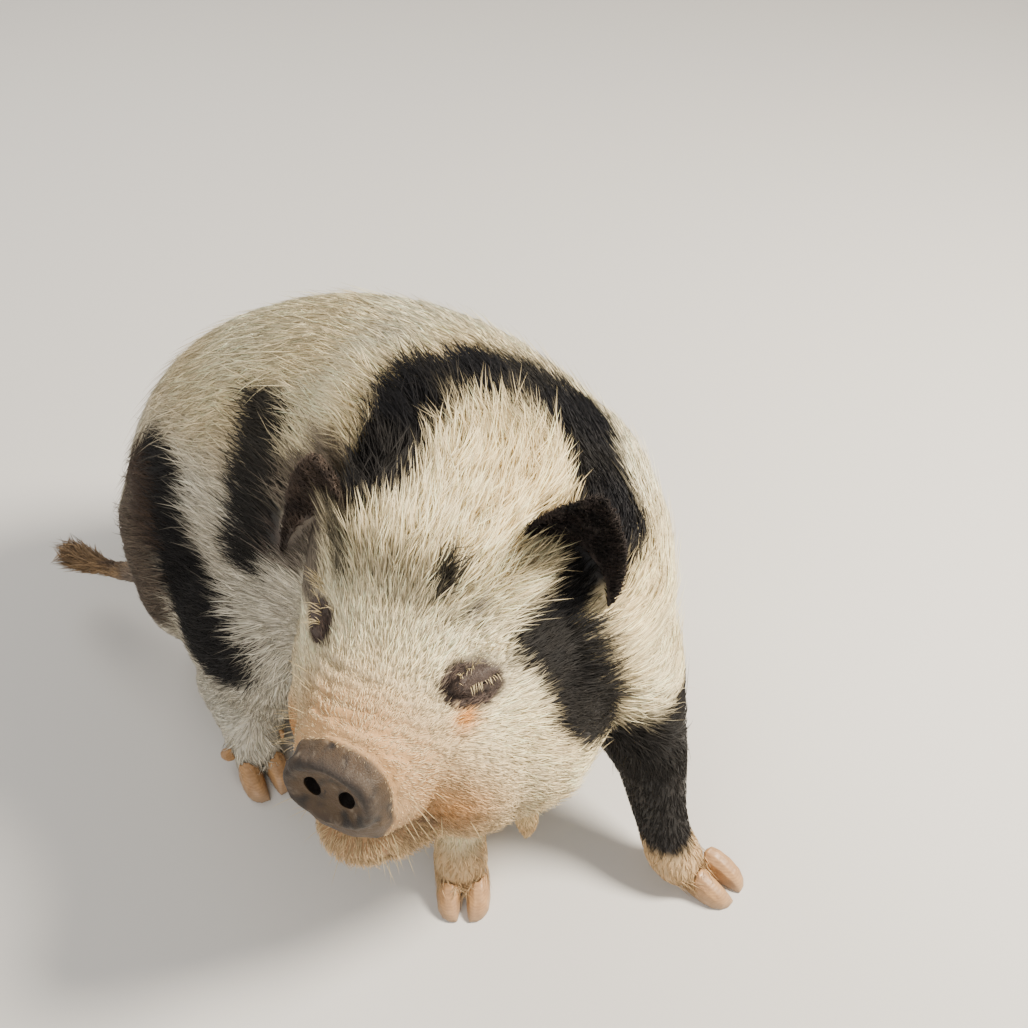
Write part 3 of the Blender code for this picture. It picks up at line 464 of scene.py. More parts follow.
def set_light():
    """A soft key from the animal's left, a wide fill and a pale room."""
    middle = (0.05, 0.05, 0.25)
    lamp("key", (1.15, -1.25, 2.0), middle, 0.7, 185.0, (1.0, 0.92, 0.79))
    lamp("fill", (-1.8, -0.6, 1.7), middle, 2.2, 34.0, (1.0, 0.97, 0.92))
    lamp("rim", (0.3, 2.0, 1.9), middle, 1.6, 36.0, (1.0, 0.97, 0.92))
    world = bpy.data.worlds.new("room")
    bpy.context.scene.world = world
    world.use_nodes = True
    room = world.node_tree
    feed(room, room.nodes["Background"], Color=(0.89, 0.88, 0.87, 1.0), Strength=0.40)


# Surfaces


def connect(tree, value, socket):
    """Sets a node's input to a value or to another node's output."""
    if isinstance(value, bpy.types.NodeSocket):
        tree.links.new(value, socket)
    else:
        socket.default_value = value


def feed(tree, node, **inputs):
    for name, value in inputs.items():
        connect(tree, value, node.inputs[name.replace("_", " ")])


def add_node(tree, kind, settings=None, **inputs):
    """Adds a shader node with its settings and inputs, and gives its outputs."""
    node = tree.nodes.new("ShaderNode" + kind)
    for name, value in (settings or {}).items():
        setattr(node, name, value)
    feed(tree, node, **inputs)
    return node.outputs


def calculated(tree, operation, first, second):
    node = tree.nodes.new("ShaderNodeMath")
    node.operation = operation
    for value, socket in zip((first, second), node.inputs):
        connect(tree, value, socket)
    return node.outputs[0]


def mixed(tree, share, first, second, kind="RGBA", how="MIX"):
    settings = {"data_type": kind, "blend_type": how}
    return add_node(tree, "Mix", settings, Factor=share, A=first, B=second)["Result"]


def between(tree, value, low, high):
    return add_node(tree, "MapRange", Value=value, To_Min=low, To_Max=high)["Result"]


def painted(tree, name):
    return add_node(tree, "Attribute", {"attribute_type": "GEOMETRY", "attribute_name": name})


def object_place(tree):
    return add_node(tree, "TexCoord")["Object"]


def add_bump(tree, shader, height, strength, distance):
    bump = add_node(tree, "Bump", Strength=strength, Distance=distance, Height=height)
    feed(tree, shader, Normal=bump["Normal"])


def new_surface(name):
    surface = bpy.data.materials.new(name)
    surface.use_nodes = True
    return surface, surface.node_tree, surface.node_tree.nodes["Principled BSDF"]


def new_group(name, given, results):
    """A node group with its sockets: its tree, what it is given and the node of its results."""
    tree = bpy.data.node_groups.new(name, "ShaderNodeTree")
    for way, sockets in (("INPUT", given), ("OUTPUT", results)):
        for label, kind in sockets.items():
            tree.interface.new_socket(label, in_out=way, socket_type="NodeSocket" + kind)
    return tree, tree.nodes.new("NodeGroupInput").outputs, tree.nodes.new("NodeGroupOutput")


def mottling_group():
    """Colour varied in blotches and in a finer grain."""
    sockets = {"Color": "Color", "Second Color": "Color", "Scale": "Float", "Amount": "Float"}
    tree, given, result = new_group("mottling", sockets, {"Color": "Color", "Mask": "Float"})
    place = object_place(tree)
    blotch = add_node(tree, "TexNoise", Vector=place, Scale=given["Scale"], Detail=5.0, Roughness=0.65)
    spread = add_node(tree, "MapRange", Value=blotch["Fac"], From_Min=0.36, From_Max=0.66)
    share = calculated(tree, "MULTIPLY", spread["Result"], given["Amount"])
    feed(tree, result, Color=mixed(tree, share, given["Color"], given["Second Color"]), Mask=share)
    return tree


def creases_group():
    """The height of pores and fine creases in hide or horn."""
    tree, given, result = new_group("fine_creases", {"Scale": "Float"}, {"Height": "Float"})
    place = object_place(tree)
    warp = add_node(tree, "TexNoise", Vector=place, Scale=60.0)
    bent = mixed(tree, 0.010, place, warp["Color"], "VECTOR")
    cells = add_node(
        tree, "TexVoronoi", {"feature": "DISTANCE_TO_EDGE"}, Vector=bent, Scale=given["Scale"]
    )
    valley = add_node(tree, "MapRange", Value=cells["Distance"], From_Max=0.16)
    grain = add_node(tree, "TexNoise", Vector=place, Scale=900.0, Detail=3.0)
    feed(tree, result, Height=calculated(tree, "ADD", valley["Result"], grain["Fac"]))
    return tree


MOTTLING = mottling_group()
CREASES = creases_group()


def mottled(tree, colour, second, scale, amount):
    """A colour with blotches of a second one, and the mask of the blotches."""
    second = (*second, 1.0)
    settings = {"node_tree": MOTTLING}
    return add_node(tree, "Group", settings, Color=colour, Second_Color=second, Scale=scale, Amount=amount)


def creased(tree, scale):
    return add_node(tree, "Group", {"node_tree": CREASES}, Scale=scale)["Height"]


def hide_surface():
    """Bare and thinly haired skin: its colour marks and painted shade, mottled, with pores, creases and dull
    dirt.
    """
    surface, tree, shader = new_surface("pig_hide")
    dirt = mottled(tree, painted(tree, "markings_and_shade")["Color"], DIRT, 46.0, 0.30)
    add_bump(tree, shader, creased(tree, 330.0), 0.32, 0.0008)
    feed(
        tree,
        shader,
        Base_Color=dirt["Color"],
        Roughness=between(tree, dirt["Mask"], 0.50, 0.85),
        Specular_IOR_Level=0.30,
        Subsurface_Weight=0.06,
        Subsurface_Radius=(0.004, 0.002, 0.001),
    )
    return surface


def bristle_surface(name, roughness, specular):
    """Hair: its colour marks and painted shade, darker toward the roots, in each tuft's own tone, with fine
    streaks and a dull sheen.
    """
    surface, tree, shader = new_surface(name)
    streaks = mottled(tree, painted(tree, "markings_and_shade")["Color"], HAIR_DUST, 85.0, 0.10)
    fine = add_node(tree, "TexNoise", Vector=object_place(tree), Scale=1400.0)["Fac"]
    add_bump(tree, shader, fine, 0.25, 0.0003)
    shine = between(tree, fine, roughness - 0.12, roughness + 0.14)
    feed(tree, shader, Base_Color=streaks["Color"], Roughness=shine, Specular_IOR_Level=specular)
    return surface


def horn_surface(name, pale, dark):
    """Hoof horn with growth rings, fine splits, scuffs and dust at the ground."""
    surface, tree, shader = new_surface(name)
    place = object_place(tree)
    waves = {"Scale": 150.0, "Distortion": 1.2, "Detail": 3.0, "Detail_Scale": 2.0}
    rings = add_node(tree, "TexWave", {"bands_direction": "Z"}, Vector=place, **waves)
    tone = mottled(tree, (*pale, 1.0), dark, 75.0, 0.9)
    ringed = mixed(tree, 0.16, tone["Color"], rings["Color"], how="MULTIPLY")
    up = add_node(tree, "SeparateXYZ", Vector=place)["Z"]
    ground = add_node(tree, "MapRange", Value=up, From_Min=0.016, From_Max=0.0)["Result"]
    dusty = mixed(tree, calculated(tree, "MULTIPLY", ground, 0.55), ringed, (*HOOF_DUST, 1.0))
    add_bump(tree, shader, calculated(tree, "ADD", rings["Fac"], creased(tree, 210.0)), 0.25, 0.0003)
    feed(tree, shader, Base_Color=dusty, Roughness=between(tree, tone["Mask"], 0.34, 0.72))
    return surface


def eye_surface():
    """A wet brown eye: dark pupil, streaked iris and a dull white at the edge."""
    surface, tree, shader = new_surface("wet_eye")
    bands = tree.nodes.new("ShaderNodeValToRGB")
    ramp = bands.color_ramp
    ramp.elements[0].position, ramp.elements[0].color = 0.0, (0.004, 0.003, 0.003, 1.0)
    ramp.elements[1].position, ramp.elements[1].color = 1.0, (0.42, 0.30, 0.22, 1.0)
    for place, colour in GAZE:
        ramp.elements.new(place).color = (*colour, 1.0)
    feed(tree, bands, Fac=painted(tree, "gaze")["Fac"])
    veins = mottled(tree, bands.outputs["Color"], VEIN, 420.0, 0.45)
    wet = between(tree, veins["Mask"], 0.06, 0.20)
    feed(tree, shader, Base_Color=veins["Color"], Roughness=wet, Coat_Weight=1.0, Coat_Roughness=0.03)
    return surface


# The hide


class Solids:
    """The flesh of the solids, to be felt for from outside along a line."""

    def __init__(self, names):
        self.tree = surface_tree(*(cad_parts[name] for name in names))

    def spans(self, start, way, reach):
        """The stretches of the line that lie inside flesh, with hair-wide gaps bridged."""
        found, inside, begun, gone = [], 0, 0.0, 0.0
        here = start
        for _ in range(MOST_WALLS):
            hit, normal, _, distance = self.tree.ray_cast(here, way, reach - gone)
            if hit is None:
                break
            gone += distance
            if normal.dot(way) < 0:
                if inside == 0:
                    if found and gone - found[-1][1] < NODE_GAP:
                        begun = found.pop()[0]
                    else:
                        begun = gone
                inside += 1
            else:
                if inside == 0 and not found:
                    found.append((0.0, gone))
                elif inside > 0:
                    inside -= 1
                    if inside == 0:
                        found.append((begun, gone))
            gone += 0.00002
            here = start + way * gone
        if inside:
            found.append((begun, reach))
        return found

    def skin_below(self, point, normal):
        """How far along the normal the flesh begins, past any lock that stands over it."""
        way = -normal
        for lift in (LOCK_HEIGHT, 0.001):
            start = point + normal * lift
            for begun, ended in self.spans(start, way, lift + SEARCH_DEPTH + FLESH_THICKNESS):
                if begun == 0.0:
                    break
                if ended - begun >= FLESH_THICKNESS:
                    return lift - begun
        return None


def gather_hide():
    """One closed skin through all the nodes of flesh, without seams."""
    copies = [own_copy(name, "hide") for name in FLESH]
    deselect()
    for obj in copies:
        obj.select_set(True)
    hide = copies[0]
    bpy.context.view_layer.objects.active = hide
    bpy.ops.object.join()
    for grid, rounds in HIDE_GRIDS:
        even_out(hide, grid, rounds)
    hide.name = "hide"
    hide.data.name = "hide"
    return hide


def finer_head(hide):
    """Cuts the faces of the head smaller, for its folds."""
    choose(hide)
    forward, left, up = in_head_frame(points_of(hide) - SHIFT)
    near = (forward > -0.035) & (up > -0.20) & (np.abs(left) < 0.16)
    bm = bmesh.new()
    bm.from_mesh(hide.data)
    bm.verts.ensure_lookup_table()
    edges = [e for e in bm.edges if near[e.verts[0].index] and near[e.verts[1].index]]
    bmesh.ops.subdivide_edges(bm, edges=edges, cuts=1, use_grid_fill=True)
    bmesh.ops.triangulate(bm, faces=[f for f in bm.faces if len(f.verts) > 4])
    bm.to_mesh(hide.data)
    bm.free()
    return hide


def fit_to_flesh(hide):
    """Lays the skin on the flesh of the solids, under their locks."""
    solids = Solids(FLESH)
    spots, normals = points_of(hide), normals_of(hide)
    forward, left, up = in_head_frame(spots - SHIFT)
    face = (forward > -0.02) & (up > -0.21) & (np.abs(left) < 0.20)
    moves = np.zeros(len(spots))
    for i, (spot, normal) in enumerate(zip(spots, normals)):
        found = solids.skin_below(Vector(spot), Vector(normal))
        if found is not None:
            moves[i] = max(found, -MOST_SINK)
    even = averaged(hide, moves, 8)
    moves = np.where(face, averaged(hide, moves, 1), even)
    set_points(hide, spots + normals * moves[:, None])
    spots = averaged(hide, points_of(hide), 6, np.where(face, 0.12, 0.5))
    spots[:, 2] = np.maximum(spots[:, 2], HIDE_CLEAR)
    set_points(hide, spots)
    return hide


def disc_frame(points):
    """Points of the model in the frame of the snout's plate: across, up the plate, out of it."""
    out = FORWARD * math.cos(SNOUT_TILT) + np.array((0.0, 0.0, math.sin(SNOUT_TILT)))
    across = unit(np.cross((0.0, 0.0, 1.0), out))
    up = np.cross(out, across)
    offset = points - placed(head_point(*DISC_CENTRE))
    return offset @ across, offset @ up, offset @ out, (across, up, out)


def plate_share(across, height):
    """Nothing in the middle of the snout's plate and one at its edge."""
    return np.sqrt((across / PLATE_HALF[0]) ** 2 + (height / PLATE_HALF[1]) ** 2)


def flat_snout(hide):
    """Closes the nostrils of the skin over, so that they can be cut anew with a fine edge."""
    spots = points_of(hide)
    across, height, depth, (_, _, out) = disc_frame(spots)
    inside = (np.abs(across) < 0.030) & (np.abs(height) < 0.020) & (depth > -0.012)
    spots[inside] += out * (PLATE_LEVEL - depth[inside])[:, None]
    reach = plate_share(across, height)
    rim = np.exp(-(((reach - 0.86) / 0.15) ** 2)) * 0.0034
    hollow = (1 - smooth_step(reach, 0.45, 0.78)) * 0.0018
    lumps = speckle(spots, 130.0) * 0.0011
    front = smooth_step(depth, -0.006, 0.006) * (reach < 1.35)
    spots += out * ((rim - hollow + lumps) * front)[:, None]
    behind = np.exp(-(((depth + 0.0135) / 0.0042) ** 2)) * (reach > 0.6) * (reach < 1.9)
    behind = behind * smooth_step(height, -0.030, 0.0)
    spots -= normals_of(hide) * (behind * 0.0032)[:, None]
    set_points(hide, spots)


def ball(name, centre, radii, axes, rings=20, sides=32):
    """An ellipsoid with its axes along three directions, and its faces in the same order each run."""
    down = np.repeat(np.arange(1, rings) * math.pi / rings, sides)
    turn = np.tile(np.arange(sides) * 2 * math.pi / sides, rings - 1)
    belts = np.stack((np.sin(down) * np.cos(turn), np.sin(down) * np.sin(turn), np.cos(down)), axis=1)
    corners = np.vstack(((0.0, 0.0, 1.0), belts, (0.0, 0.0, -1.0)))
    lowest = (rings - 2) * sides + 1
    faces = []
    for side in range(sides):
        after = (side + 1) % sides
        faces += [(0, 1 + side, 1 + after), (lowest + side, len(corners) - 1, lowest + after)]
        for belt in range(1, lowest, sides):
            faces.append((belt + side, belt + sides + side, belt + sides + after, belt + after))
    mesh = bpy.data.meshes.new(name)
    mesh.from_pydata(((corners * radii) @ np.array(axes) + centre).tolist(), [], faces)
    obj = bpy.data.objects.new(name, mesh)
    bpy.context.scene.collection.objects.link(obj)
    return obj


def cut_away(obj, tool):
    cut = obj.modifiers.new("cut", "BOOLEAN")
    cut.operation = "DIFFERENCE"
    cut.solver = "EXACT"
    cut.object = tool
    apply_all(obj)
    bpy.data.objects.remove(tool)


def eye_axes(node):
    """Centre of an eye, set a little deep, and its axes: along the slit, upright, outward."""
    side = 1 if node.startswith("left") else -1
    out = unit(FORWARD * 0.52 + LEFTWARD * side * 0.85 + np.array((0.0, 0.0, 0.10)))
    across = unit(np.cross((0.0, 0.0, 1.0), out))
    return middle_of(node) - out * EYE_DEPTH, (across, np.cross(out, across), out)


def open_eyes(hide):
    """Cuts the narrow slit between the lids and the hollow for the ball."""
    for node in EYES:
        centre, axes = eye_axes(node)
        cut_away(hide, ball("hollow", centre, (EYE + EYE_ROOM,) * 3, axes))
        cut_away(hide, ball("slit", centre + axes[2] * EYE, SLIT, axes))


def open_nostrils(hide):
    _, _, _, (across, up, out) = disc_frame(np.zeros((1, 3)))
    for side in (1, -1):
        lean = NOSTRIL_LEAN * side
        first = across * math.cos(lean) + up * math.sin(lean)
        second = np.cross(out, first)
        centre = placed(head_point(*DISC_CENTRE)) + across * side * NOSTRIL_PLACE + out * 0.004
        cut_away(hide, ball("nostril", centre, NOSTRIL, (first, second, out)))


def crease(spots, line, width, depth, lip):
    """Moves of the skin for a groove along a line, with a soft roll on either side."""
    away = away_from_line(spots, line)
    groove = -depth * np.exp(-((away / width) ** 2))
    rolls = lip * np.exp(-(((away - width * 2.4) / (width * 1.5)) ** 2))
    return groove + rolls


def mouth_line(tree):
    """Spots on the skin from one corner of the mouth round the muzzle to the other."""
    return [np.array(tree.find_nearest(Vector(spot))[0]) for spot in placed(MOUTH_ROUTE)]


def fold_face(hide):
    """Lids, the line of the mouth, wrinkles on the snout and folds on the brow."""
    spots, normals = points_of(hide), normals_of(hide)
    forward, left, up = in_head_frame(spots - SHIFT)
    moves = crease(spots, mouth_line(surface_tree(hide)), *MOUTH_GROOVE)
    for node in EYES:
        centre, axes = eye_axes(node)
        offset = spots - centre
        a, b, out = offset @ axes[0], offset @ axes[1], offset @ axes[2]
        near = (out > -0.004) & (np.abs(a) < 0.045) & (np.abs(b) < 0.04)
        for level, bow, strength in LID_FOLDS:
            arc = level * (1 - (a / 0.030) ** 2 * abs(bow) * 2)
            depth = strength * np.exp(-(((b - arc) / 0.0017) ** 2)) * np.clip(1 - (a / 0.032) ** 2, 0, 1)
            moves -= np.where(near, depth, 0)
    top = smooth_step(forward, 0.035, 0.055) * (1 - smooth_step(forward, 0.098, 0.112))
    top = top * smooth_step(up, -0.060, -0.025)
    bent = forward + 5.0 * left * left + speckle(spots, 45.0) * 0.004
    moves += top * np.sin(bent * 2 * math.pi / 0.0125) * 0.0011
    brow = smooth_step(up, 0.030, 0.050) * (1 - smooth_step(up, 0.085, 0.11))
    brow = brow * (1 - smooth_step(np.abs(left), 0.05, 0.08))
    waves = np.sin((forward + speckle(spots, 20.0) * 0.01) * 2 * math.pi / 0.020)
    moves += np.where(forward > -0.06, brow * waves * 0.0009, 0)
    moves += speckle(spots, 90.0) * 0.0004
    spots = spots + normals * np.clip(moves, -0.005, 0.003)[:, None]
    for node in EYES:
        centre, axes = eye_axes(node)
        reach = np.linalg.norm(spots - centre, axis=1)
        thick = EYE + LID_THICKNESS
        under = reach < thick
        spots[under] = centre + (spots[under] - centre) * (thick / np.maximum(reach[under], 0.002))[:, None]
    set_points(hide, spots)


def close_shading(obj, degrees=60):
    """Smooth shading, but for edges sharper than an angle."""
    choose(obj)
    bpy.ops.object.shade_smooth_by_angle(angle=math.radians(degrees))


def build_hide():
    """The skin of head, neck, trunk and legs, with its openings cut and its folds raised."""
    hide = gather_hide()
    finer_head(hide)
    fit_to_flesh(hide)
    flat_snout(hide)
    fold_face(hide)
    open_nostrils(hide)
    open_eyes(hide)
    close_shading(hide)
    return hide


# Colour marks and painted shade, shared by the hide and the coat


def blend(first, second, share):
    """Colours moved towards a second colour by a share at each point."""
    first, second = np.asarray(first), np.asarray(second)
    return first + (second - first) * np.clip(share, 0, 1)[:, None]


def bands_of_colour(colour, spots):
    """Lays the coat's bands and patches, some of them painted shade, over its pale ground, with ragged edges.
    """
    wobble = speckle(spots, 24.0) * 0.010 + speckle(spots, 75.0, 3.0) * 0.006
    for line, half, tint, strength in BANDS:
        edge = away_from_line(spots, line) + wobble * min(half / 0.03, 1.0)
        colour = blend(colour, tint, strength * (1 - smooth_step(edge, half * 0.80, half * 1.28)))
    leg = 1 - smooth_step(away_from_line(spots, LEFT_LEG), 0.075, 0.095)
    leg = leg * (1 - smooth_step(spots[:, 2] + wobble, 0.220, 0.245))
    return blend(colour, BLACK, 0.99 * leg * smooth_step(spots[:, 2] + wobble * 0.6, 0.052, 0.064))


def swell(values, middle, reach):
    """One at a middle, falling away on all sides over a reach of its own along each axis."""
    away = sum(((value - centre) / size) ** 2 for value, centre, size in zip(values, middle, reach))
    return np.exp(-away)


def coat_colour_and_shade(points):
    """The coat's colour at points of the model, with painted shade on the lower trunk, in the fold between
    neck and back and beside the right ear.
    """
    spots = points - SHIFT
    forward, left, up = in_head_frame(spots)
    pale = blend(CREAM, WHITE, 0.5 + 0.9 * speckle(spots, 9.0, 9.0))
    pale = blend(pale, STRAW, 0.30 * smooth_step(speckle(spots, 13.0, 5.0), 0.0, 0.5))
    pale = blend(pale, WARM_STRAW, 0.32 * crest_share(spots))
    # Painted shade: the lower trunk behind the shoulders greyed, as the body's side in shade
    flank_shade = smooth_step(0.46 - spots[:, 2], 0.0, 0.12) * smooth_step(spots[:, 1], -0.02, 0.10)
    pale = blend(pale, FLANK_SHADE_GREY, flank_shade * 0.55)
    on_face = smooth_step(forward, -0.05, 0.0) * (np.abs(left) < 0.16) * (up > -0.22)
    pale = blend(pale, WHITE, on_face * 0.35)
    pale = blend(pale, JAW_CREAM, on_face * smooth_step(-up, 0.02, 0.09) * 0.60)
    pale = blend(pale, TAN, on_face * smooth_step(-up, 0.08, 0.15) * 0.16)
    pale = blend(pale, TAN, on_face * smooth_step(forward, 0.022, 0.080) * 0.66)
    feet = (1 - smooth_step(spots[:, 2], 0.050, 0.085)) * (spots[:, 1] < 0.0)
    pale = blend(pale, TAN, feet * 0.85)
    ginger = swell((forward, np.abs(left), up), (0.068, 0.082, -0.098), (0.034, 0.03, 0.026))
    pale = blend(pale, GINGER, ginger * 0.85)
    stained = on_face * np.exp(-((away_from_line(spots, MOUTH_ROUTE) / 0.020) ** 2))
    stained = stained * smooth_step(forward, 0.060, 0.100)
    pale = blend(pale, MOUTH_STAIN, stained * (0.65 + 0.5 * speckle(spots, 50.0)))
    tear = swell((forward, left, up), (0.040, 0.080, -0.014), (0.014, 0.010, 0.018))
    pale = blend(pale, GINGER, tear)
    colour = bands_of_colour(pale, spots)
    for place, size in LID_PATCHES:
        patch = np.sqrt((forward - place[0]) ** 2 + (left - place[1]) ** 2 + ((up - place[2]) / 0.70) ** 2)
        lid = 1 - smooth_step(patch + speckle(spots, 90.0) * 0.003, size * 0.72, size)
        colour = blend(colour, LID, lid * (forward > -0.02))
    return colour


def muzzle_share(forward, up, start, end):
    """Rises from nothing to one along the muzzle, a little sooner on its top."""
    return smooth_step(forward + 0.05 * np.maximum(up + 0.05, 0), start, end)


def skin_colour(points):
    """Bare skin on the muzzle, the coat's own colour marks and painted shade elsewhere, a little darker and
    pinker.
    """
    spots = points - SHIFT
    forward, left, up = in_head_frame(spots)
    colour = coat_colour_and_shade(points)
    near_head = (np.abs(left) < 0.16) & (up > -0.23)
    muzzle = muzzle_share(forward, up, 0.045, 0.095) * near_head
    colour = blend(colour * 0.88, PINK, muzzle * (0.85 + 0.25 * speckle(spots, 40.0)))
    chin = near_head * smooth_step(-up, 0.11, 0.15) * smooth_step(forward, 0.0, 0.05)
    colour = blend(colour, CHIN_SKIN, chin * 0.45)
    across, height, depth, _ = disc_frame(points)
    plate = smooth_step(depth, -0.016, -0.008) * (np.abs(across) < 0.07) * (np.abs(height) < 0.06)
    grime = 0.85 + 0.30 * speckle(spots, 85.0)
    colour = blend(colour, PLATE_SKIN, plate * np.clip(grime, 0.88, 1.0))
    flecks = smooth_step(speckle(spots, 260.0), 0.20, 0.45)
    flecks = flecks * smooth_step(speckle(spots, 60.0, 2.0), -0.1, 0.3)
    colour = blend(colour, DRY_MUD, plate * flecks * 0.35)
    rim = plate * np.exp(-(((plate_share(across, height) - 0.93) / 0.16) ** 2))
    colour = blend(colour, DIRT, rim * (0.55 + 0.35 * smooth_step(height, -0.02, 0.02)))
    for side in (1, -1):
        hole = np.hypot(across - side * NOSTRIL_PLACE, height)
        colour = blend(colour, NOSTRIL_SKIN, (hole < 0.0125) * (depth < 0.0085) * (depth > -0.03))
    callus = np.linalg.norm(points - placed(head_point(0.131, -0.036, -0.012)), axis=1)
    colour = blend(colour, CALLUS, 1 - smooth_step(callus, 0.003, 0.007))
    near_mouth = 1 - smooth_step(away_from_line(points, placed(MOUTH_ROUTE)), 0.004, 0.016)
    colour = blend(colour, LIP, near_mouth * (0.55 + 0.35 * speckle(spots, 60.0)) * near_head)
    return colour


def write_colour(obj, colours):
    layer = obj.data.attributes.new("markings_and_shade", "FLOAT_COLOR", "POINT")
    full = np.ones((len(colours), 4), np.float32)
    full[:, :3] = np.clip(colours, 0.004, 0.95)
    layer.data.foreach_set("color", full.ravel())


# Ears, tail, tassels, hooves and eyes


def rounded(node, name, grid, rounds=3):
    """A copy of a CAD node with its facets evened out."""
    obj = even_out(own_copy(node, name), grid, rounds)
    obj.name = name
    obj.data.name = name
    close_shading(obj, 80)
    return obj


def sink_root(tail):
    """Runs the tail's root on into the rump, under the coat."""
    spots = points_of(tail)
    near = 1 - smooth_step(spots[:, 1], spots[:, 1].min(), spots[:, 1].min() + TAIL_ROOT)
    set_points(tail, spots + TAIL_INWARD * near[:, None])


def build_ear(node, surface):
    """An ear as a thin smooth shell with soft lumps, unwrapped for its hair."""
    obj = own_copy(node, node + "_hide")
    smooth = obj.modifiers.new("smooth", "SUBSURF")
    smooth.levels = smooth.render_levels = 3
    apply_all(obj)
    spots, normals = points_of(obj), normals_of(obj)
    set_points(obj, spots + normals * (speckle(spots, 60.0) * 0.0006)[:, None])
    write_colour(obj, ear_colour(node)(spots))
    obj.data.materials.append(surface)
    close_shading(obj, 80)
    unwrap(obj)
    return obj


def build_eye(node, surface):
    """An eye's ball, with the share of a quarter turn from its pupil as the attribute gaze."""
    centre, axes = eye_axes(node)
    obj = ball(node + "_ball", centre, (EYE,) * 3, axes, 32, 48)
    out = unit(points_of(obj) - centre) @ axes[2]
    layer = obj.data.attributes.new("gaze", "FLOAT", "POINT")
    share = np.clip(np.arccos(np.clip(out, -1, 1)) / (math.pi / 2), 0, 1)
    layer.data.foreach_set("value", share.astype(np.float32))
    obj.data.materials.append(surface)
    close_shading(obj, 80)
    return obj


# The coat


def trunk_way(spots):
    """The way the coat runs on the trunk: to the tail, and down the sides."""
    nearest = np.argmin(((spots[:, None, :2] - SPINE[None, :, :2]) ** 2).sum(axis=2), axis=1)
    ahead = np.maximum(nearest - 1, 0)
    behind = np.minimum(nearest + 1, len(SPINE) - 1)
    back = unit(SPINE[behind] - SPINE[ahead])
    aside = np.clip(np.abs(spots[:, 0] - SPINE[nearest, 0]) / 0.17, 0, 1)
    back[:, 2] -= 0.55 * aside
    return unit(back)


def lie_of_coat(points):
    """Outward from the snout, back along the trunk, down the legs, with soft whorls."""
    spots = points - SHIFT
    forward, left, up = in_head_frame(spots)
    away = unit(spots - head_point(0.100, 0.0, -0.040))
    share = np.clip((-forward - 0.115) / 0.10 + 0.5, 0, 1)
    way = unit(away * (1 - share)[:, None] + trunk_way(spots) * share[:, None])
    for leg in (LEFT_LEG, RIGHT_LEG):
        on_leg = 1 - smooth_step(away_from_line(spots, leg), 0.06, 0.09)
        on_leg = on_leg * (1 - smooth_step(spots[:, 2], 0.15, 0.21))
        way = unit(way * (1 - on_leg)[:, None] + np.array((0.0, 0.05, -1.0)) * on_leg[:, None])
    hang = smooth_step(-up, 0.130, 0.175) * smooth_step(forward, -0.06, 0.0) * (np.abs(left) < 0.15)
    way = unit(way + np.array((0.0, 0.0, -1.3)) * hang[:, None])
    whorl = np.stack([speckle(spots, 12.0, k * 7.0) for k in range(3)], axis=1)
    way = unit(way + whorl * 0.30)
    for (x, y), heading in FEET:
        toe = np.array((math.cos(heading), math.sin(heading), -0.45))
        near = 1 - smooth_step(np.hypot(spots[:, 0] - x, spots[:, 1] - y), 0.07, 0.10)
        share = near * (1 - smooth_step(spots[:, 2], 0.022, 0.060))
        way = unit(way * (1 - share)[:, None] + toe * share[:, None])
    return way


def surface_samples(hide, count, density, rng):
    """Random places on the skin, with their normals and their place on the skin's unwrap."""
    mesh = hide.data
    mesh.calc_loop_triangles()
    corners, loops = (rows_of(mesh.loop_triangles, name, 3, np.int32) for name in ("vertices", "loops"))
    spots, normals = points_of(hide), normals_of(hide)
    layout = rows_of(mesh.uv_layers["OFBake"].data, "uv", 2)
    a, b, c = (spots[corners[:, k]] for k in range(3))
    area = np.linalg.norm(np.cross(b - a, c - a), axis=1)
    weight = area * density((a + b + c) / 3)
    pick = np.searchsorted(np.cumsum(weight) / weight.sum(), rng.random(count))
    pick = np.minimum(pick, len(corners) - 1)
    u, v = rng.random(count), rng.random(count)
    over = u + v > 1
    u[over], v[over] = 1 - u[over], 1 - v[over]
    share = np.stack((1 - u - v, u, v), axis=1)
    place = (spots[corners[pick]] * share[:, :, None]).sum(axis=1)
    normal = unit((normals[corners[pick]] * share[:, :, None]).sum(axis=1))
    chart = (layout[loops[pick]] * share[:, :, None]).sum(axis=1)
    return place, normal, chart


def near_skin(tree, points, height):
    """Points laid at a height over the skin."""
    laid = np.empty_like(points)
    for i, (point, lift) in enumerate(zip(points, height)):
        spot, normal, _, _ = tree.find_nearest(Vector(point))
        laid[i] = spot + normal * lift
    return laid


def tuft_rows(tree, steps, place, normal, way, length, rise, bend, share=1.0):
    """Middles of the rings of each tuft, bending along the skin from root to tip."""
    length = length * share
    side = unit(np.cross(normal, way))
    way = np.cross(side, normal)
    rows = [place - normal * ROOT_DEPTH]
    for t in steps:
        aim = place + way * (length * t)[:, None] + side * (bend * length * t * t)[:, None]
        rows.append(near_skin(tree, aim, 0.0006 + rise * length * t ** 1.3))
    return rows, side


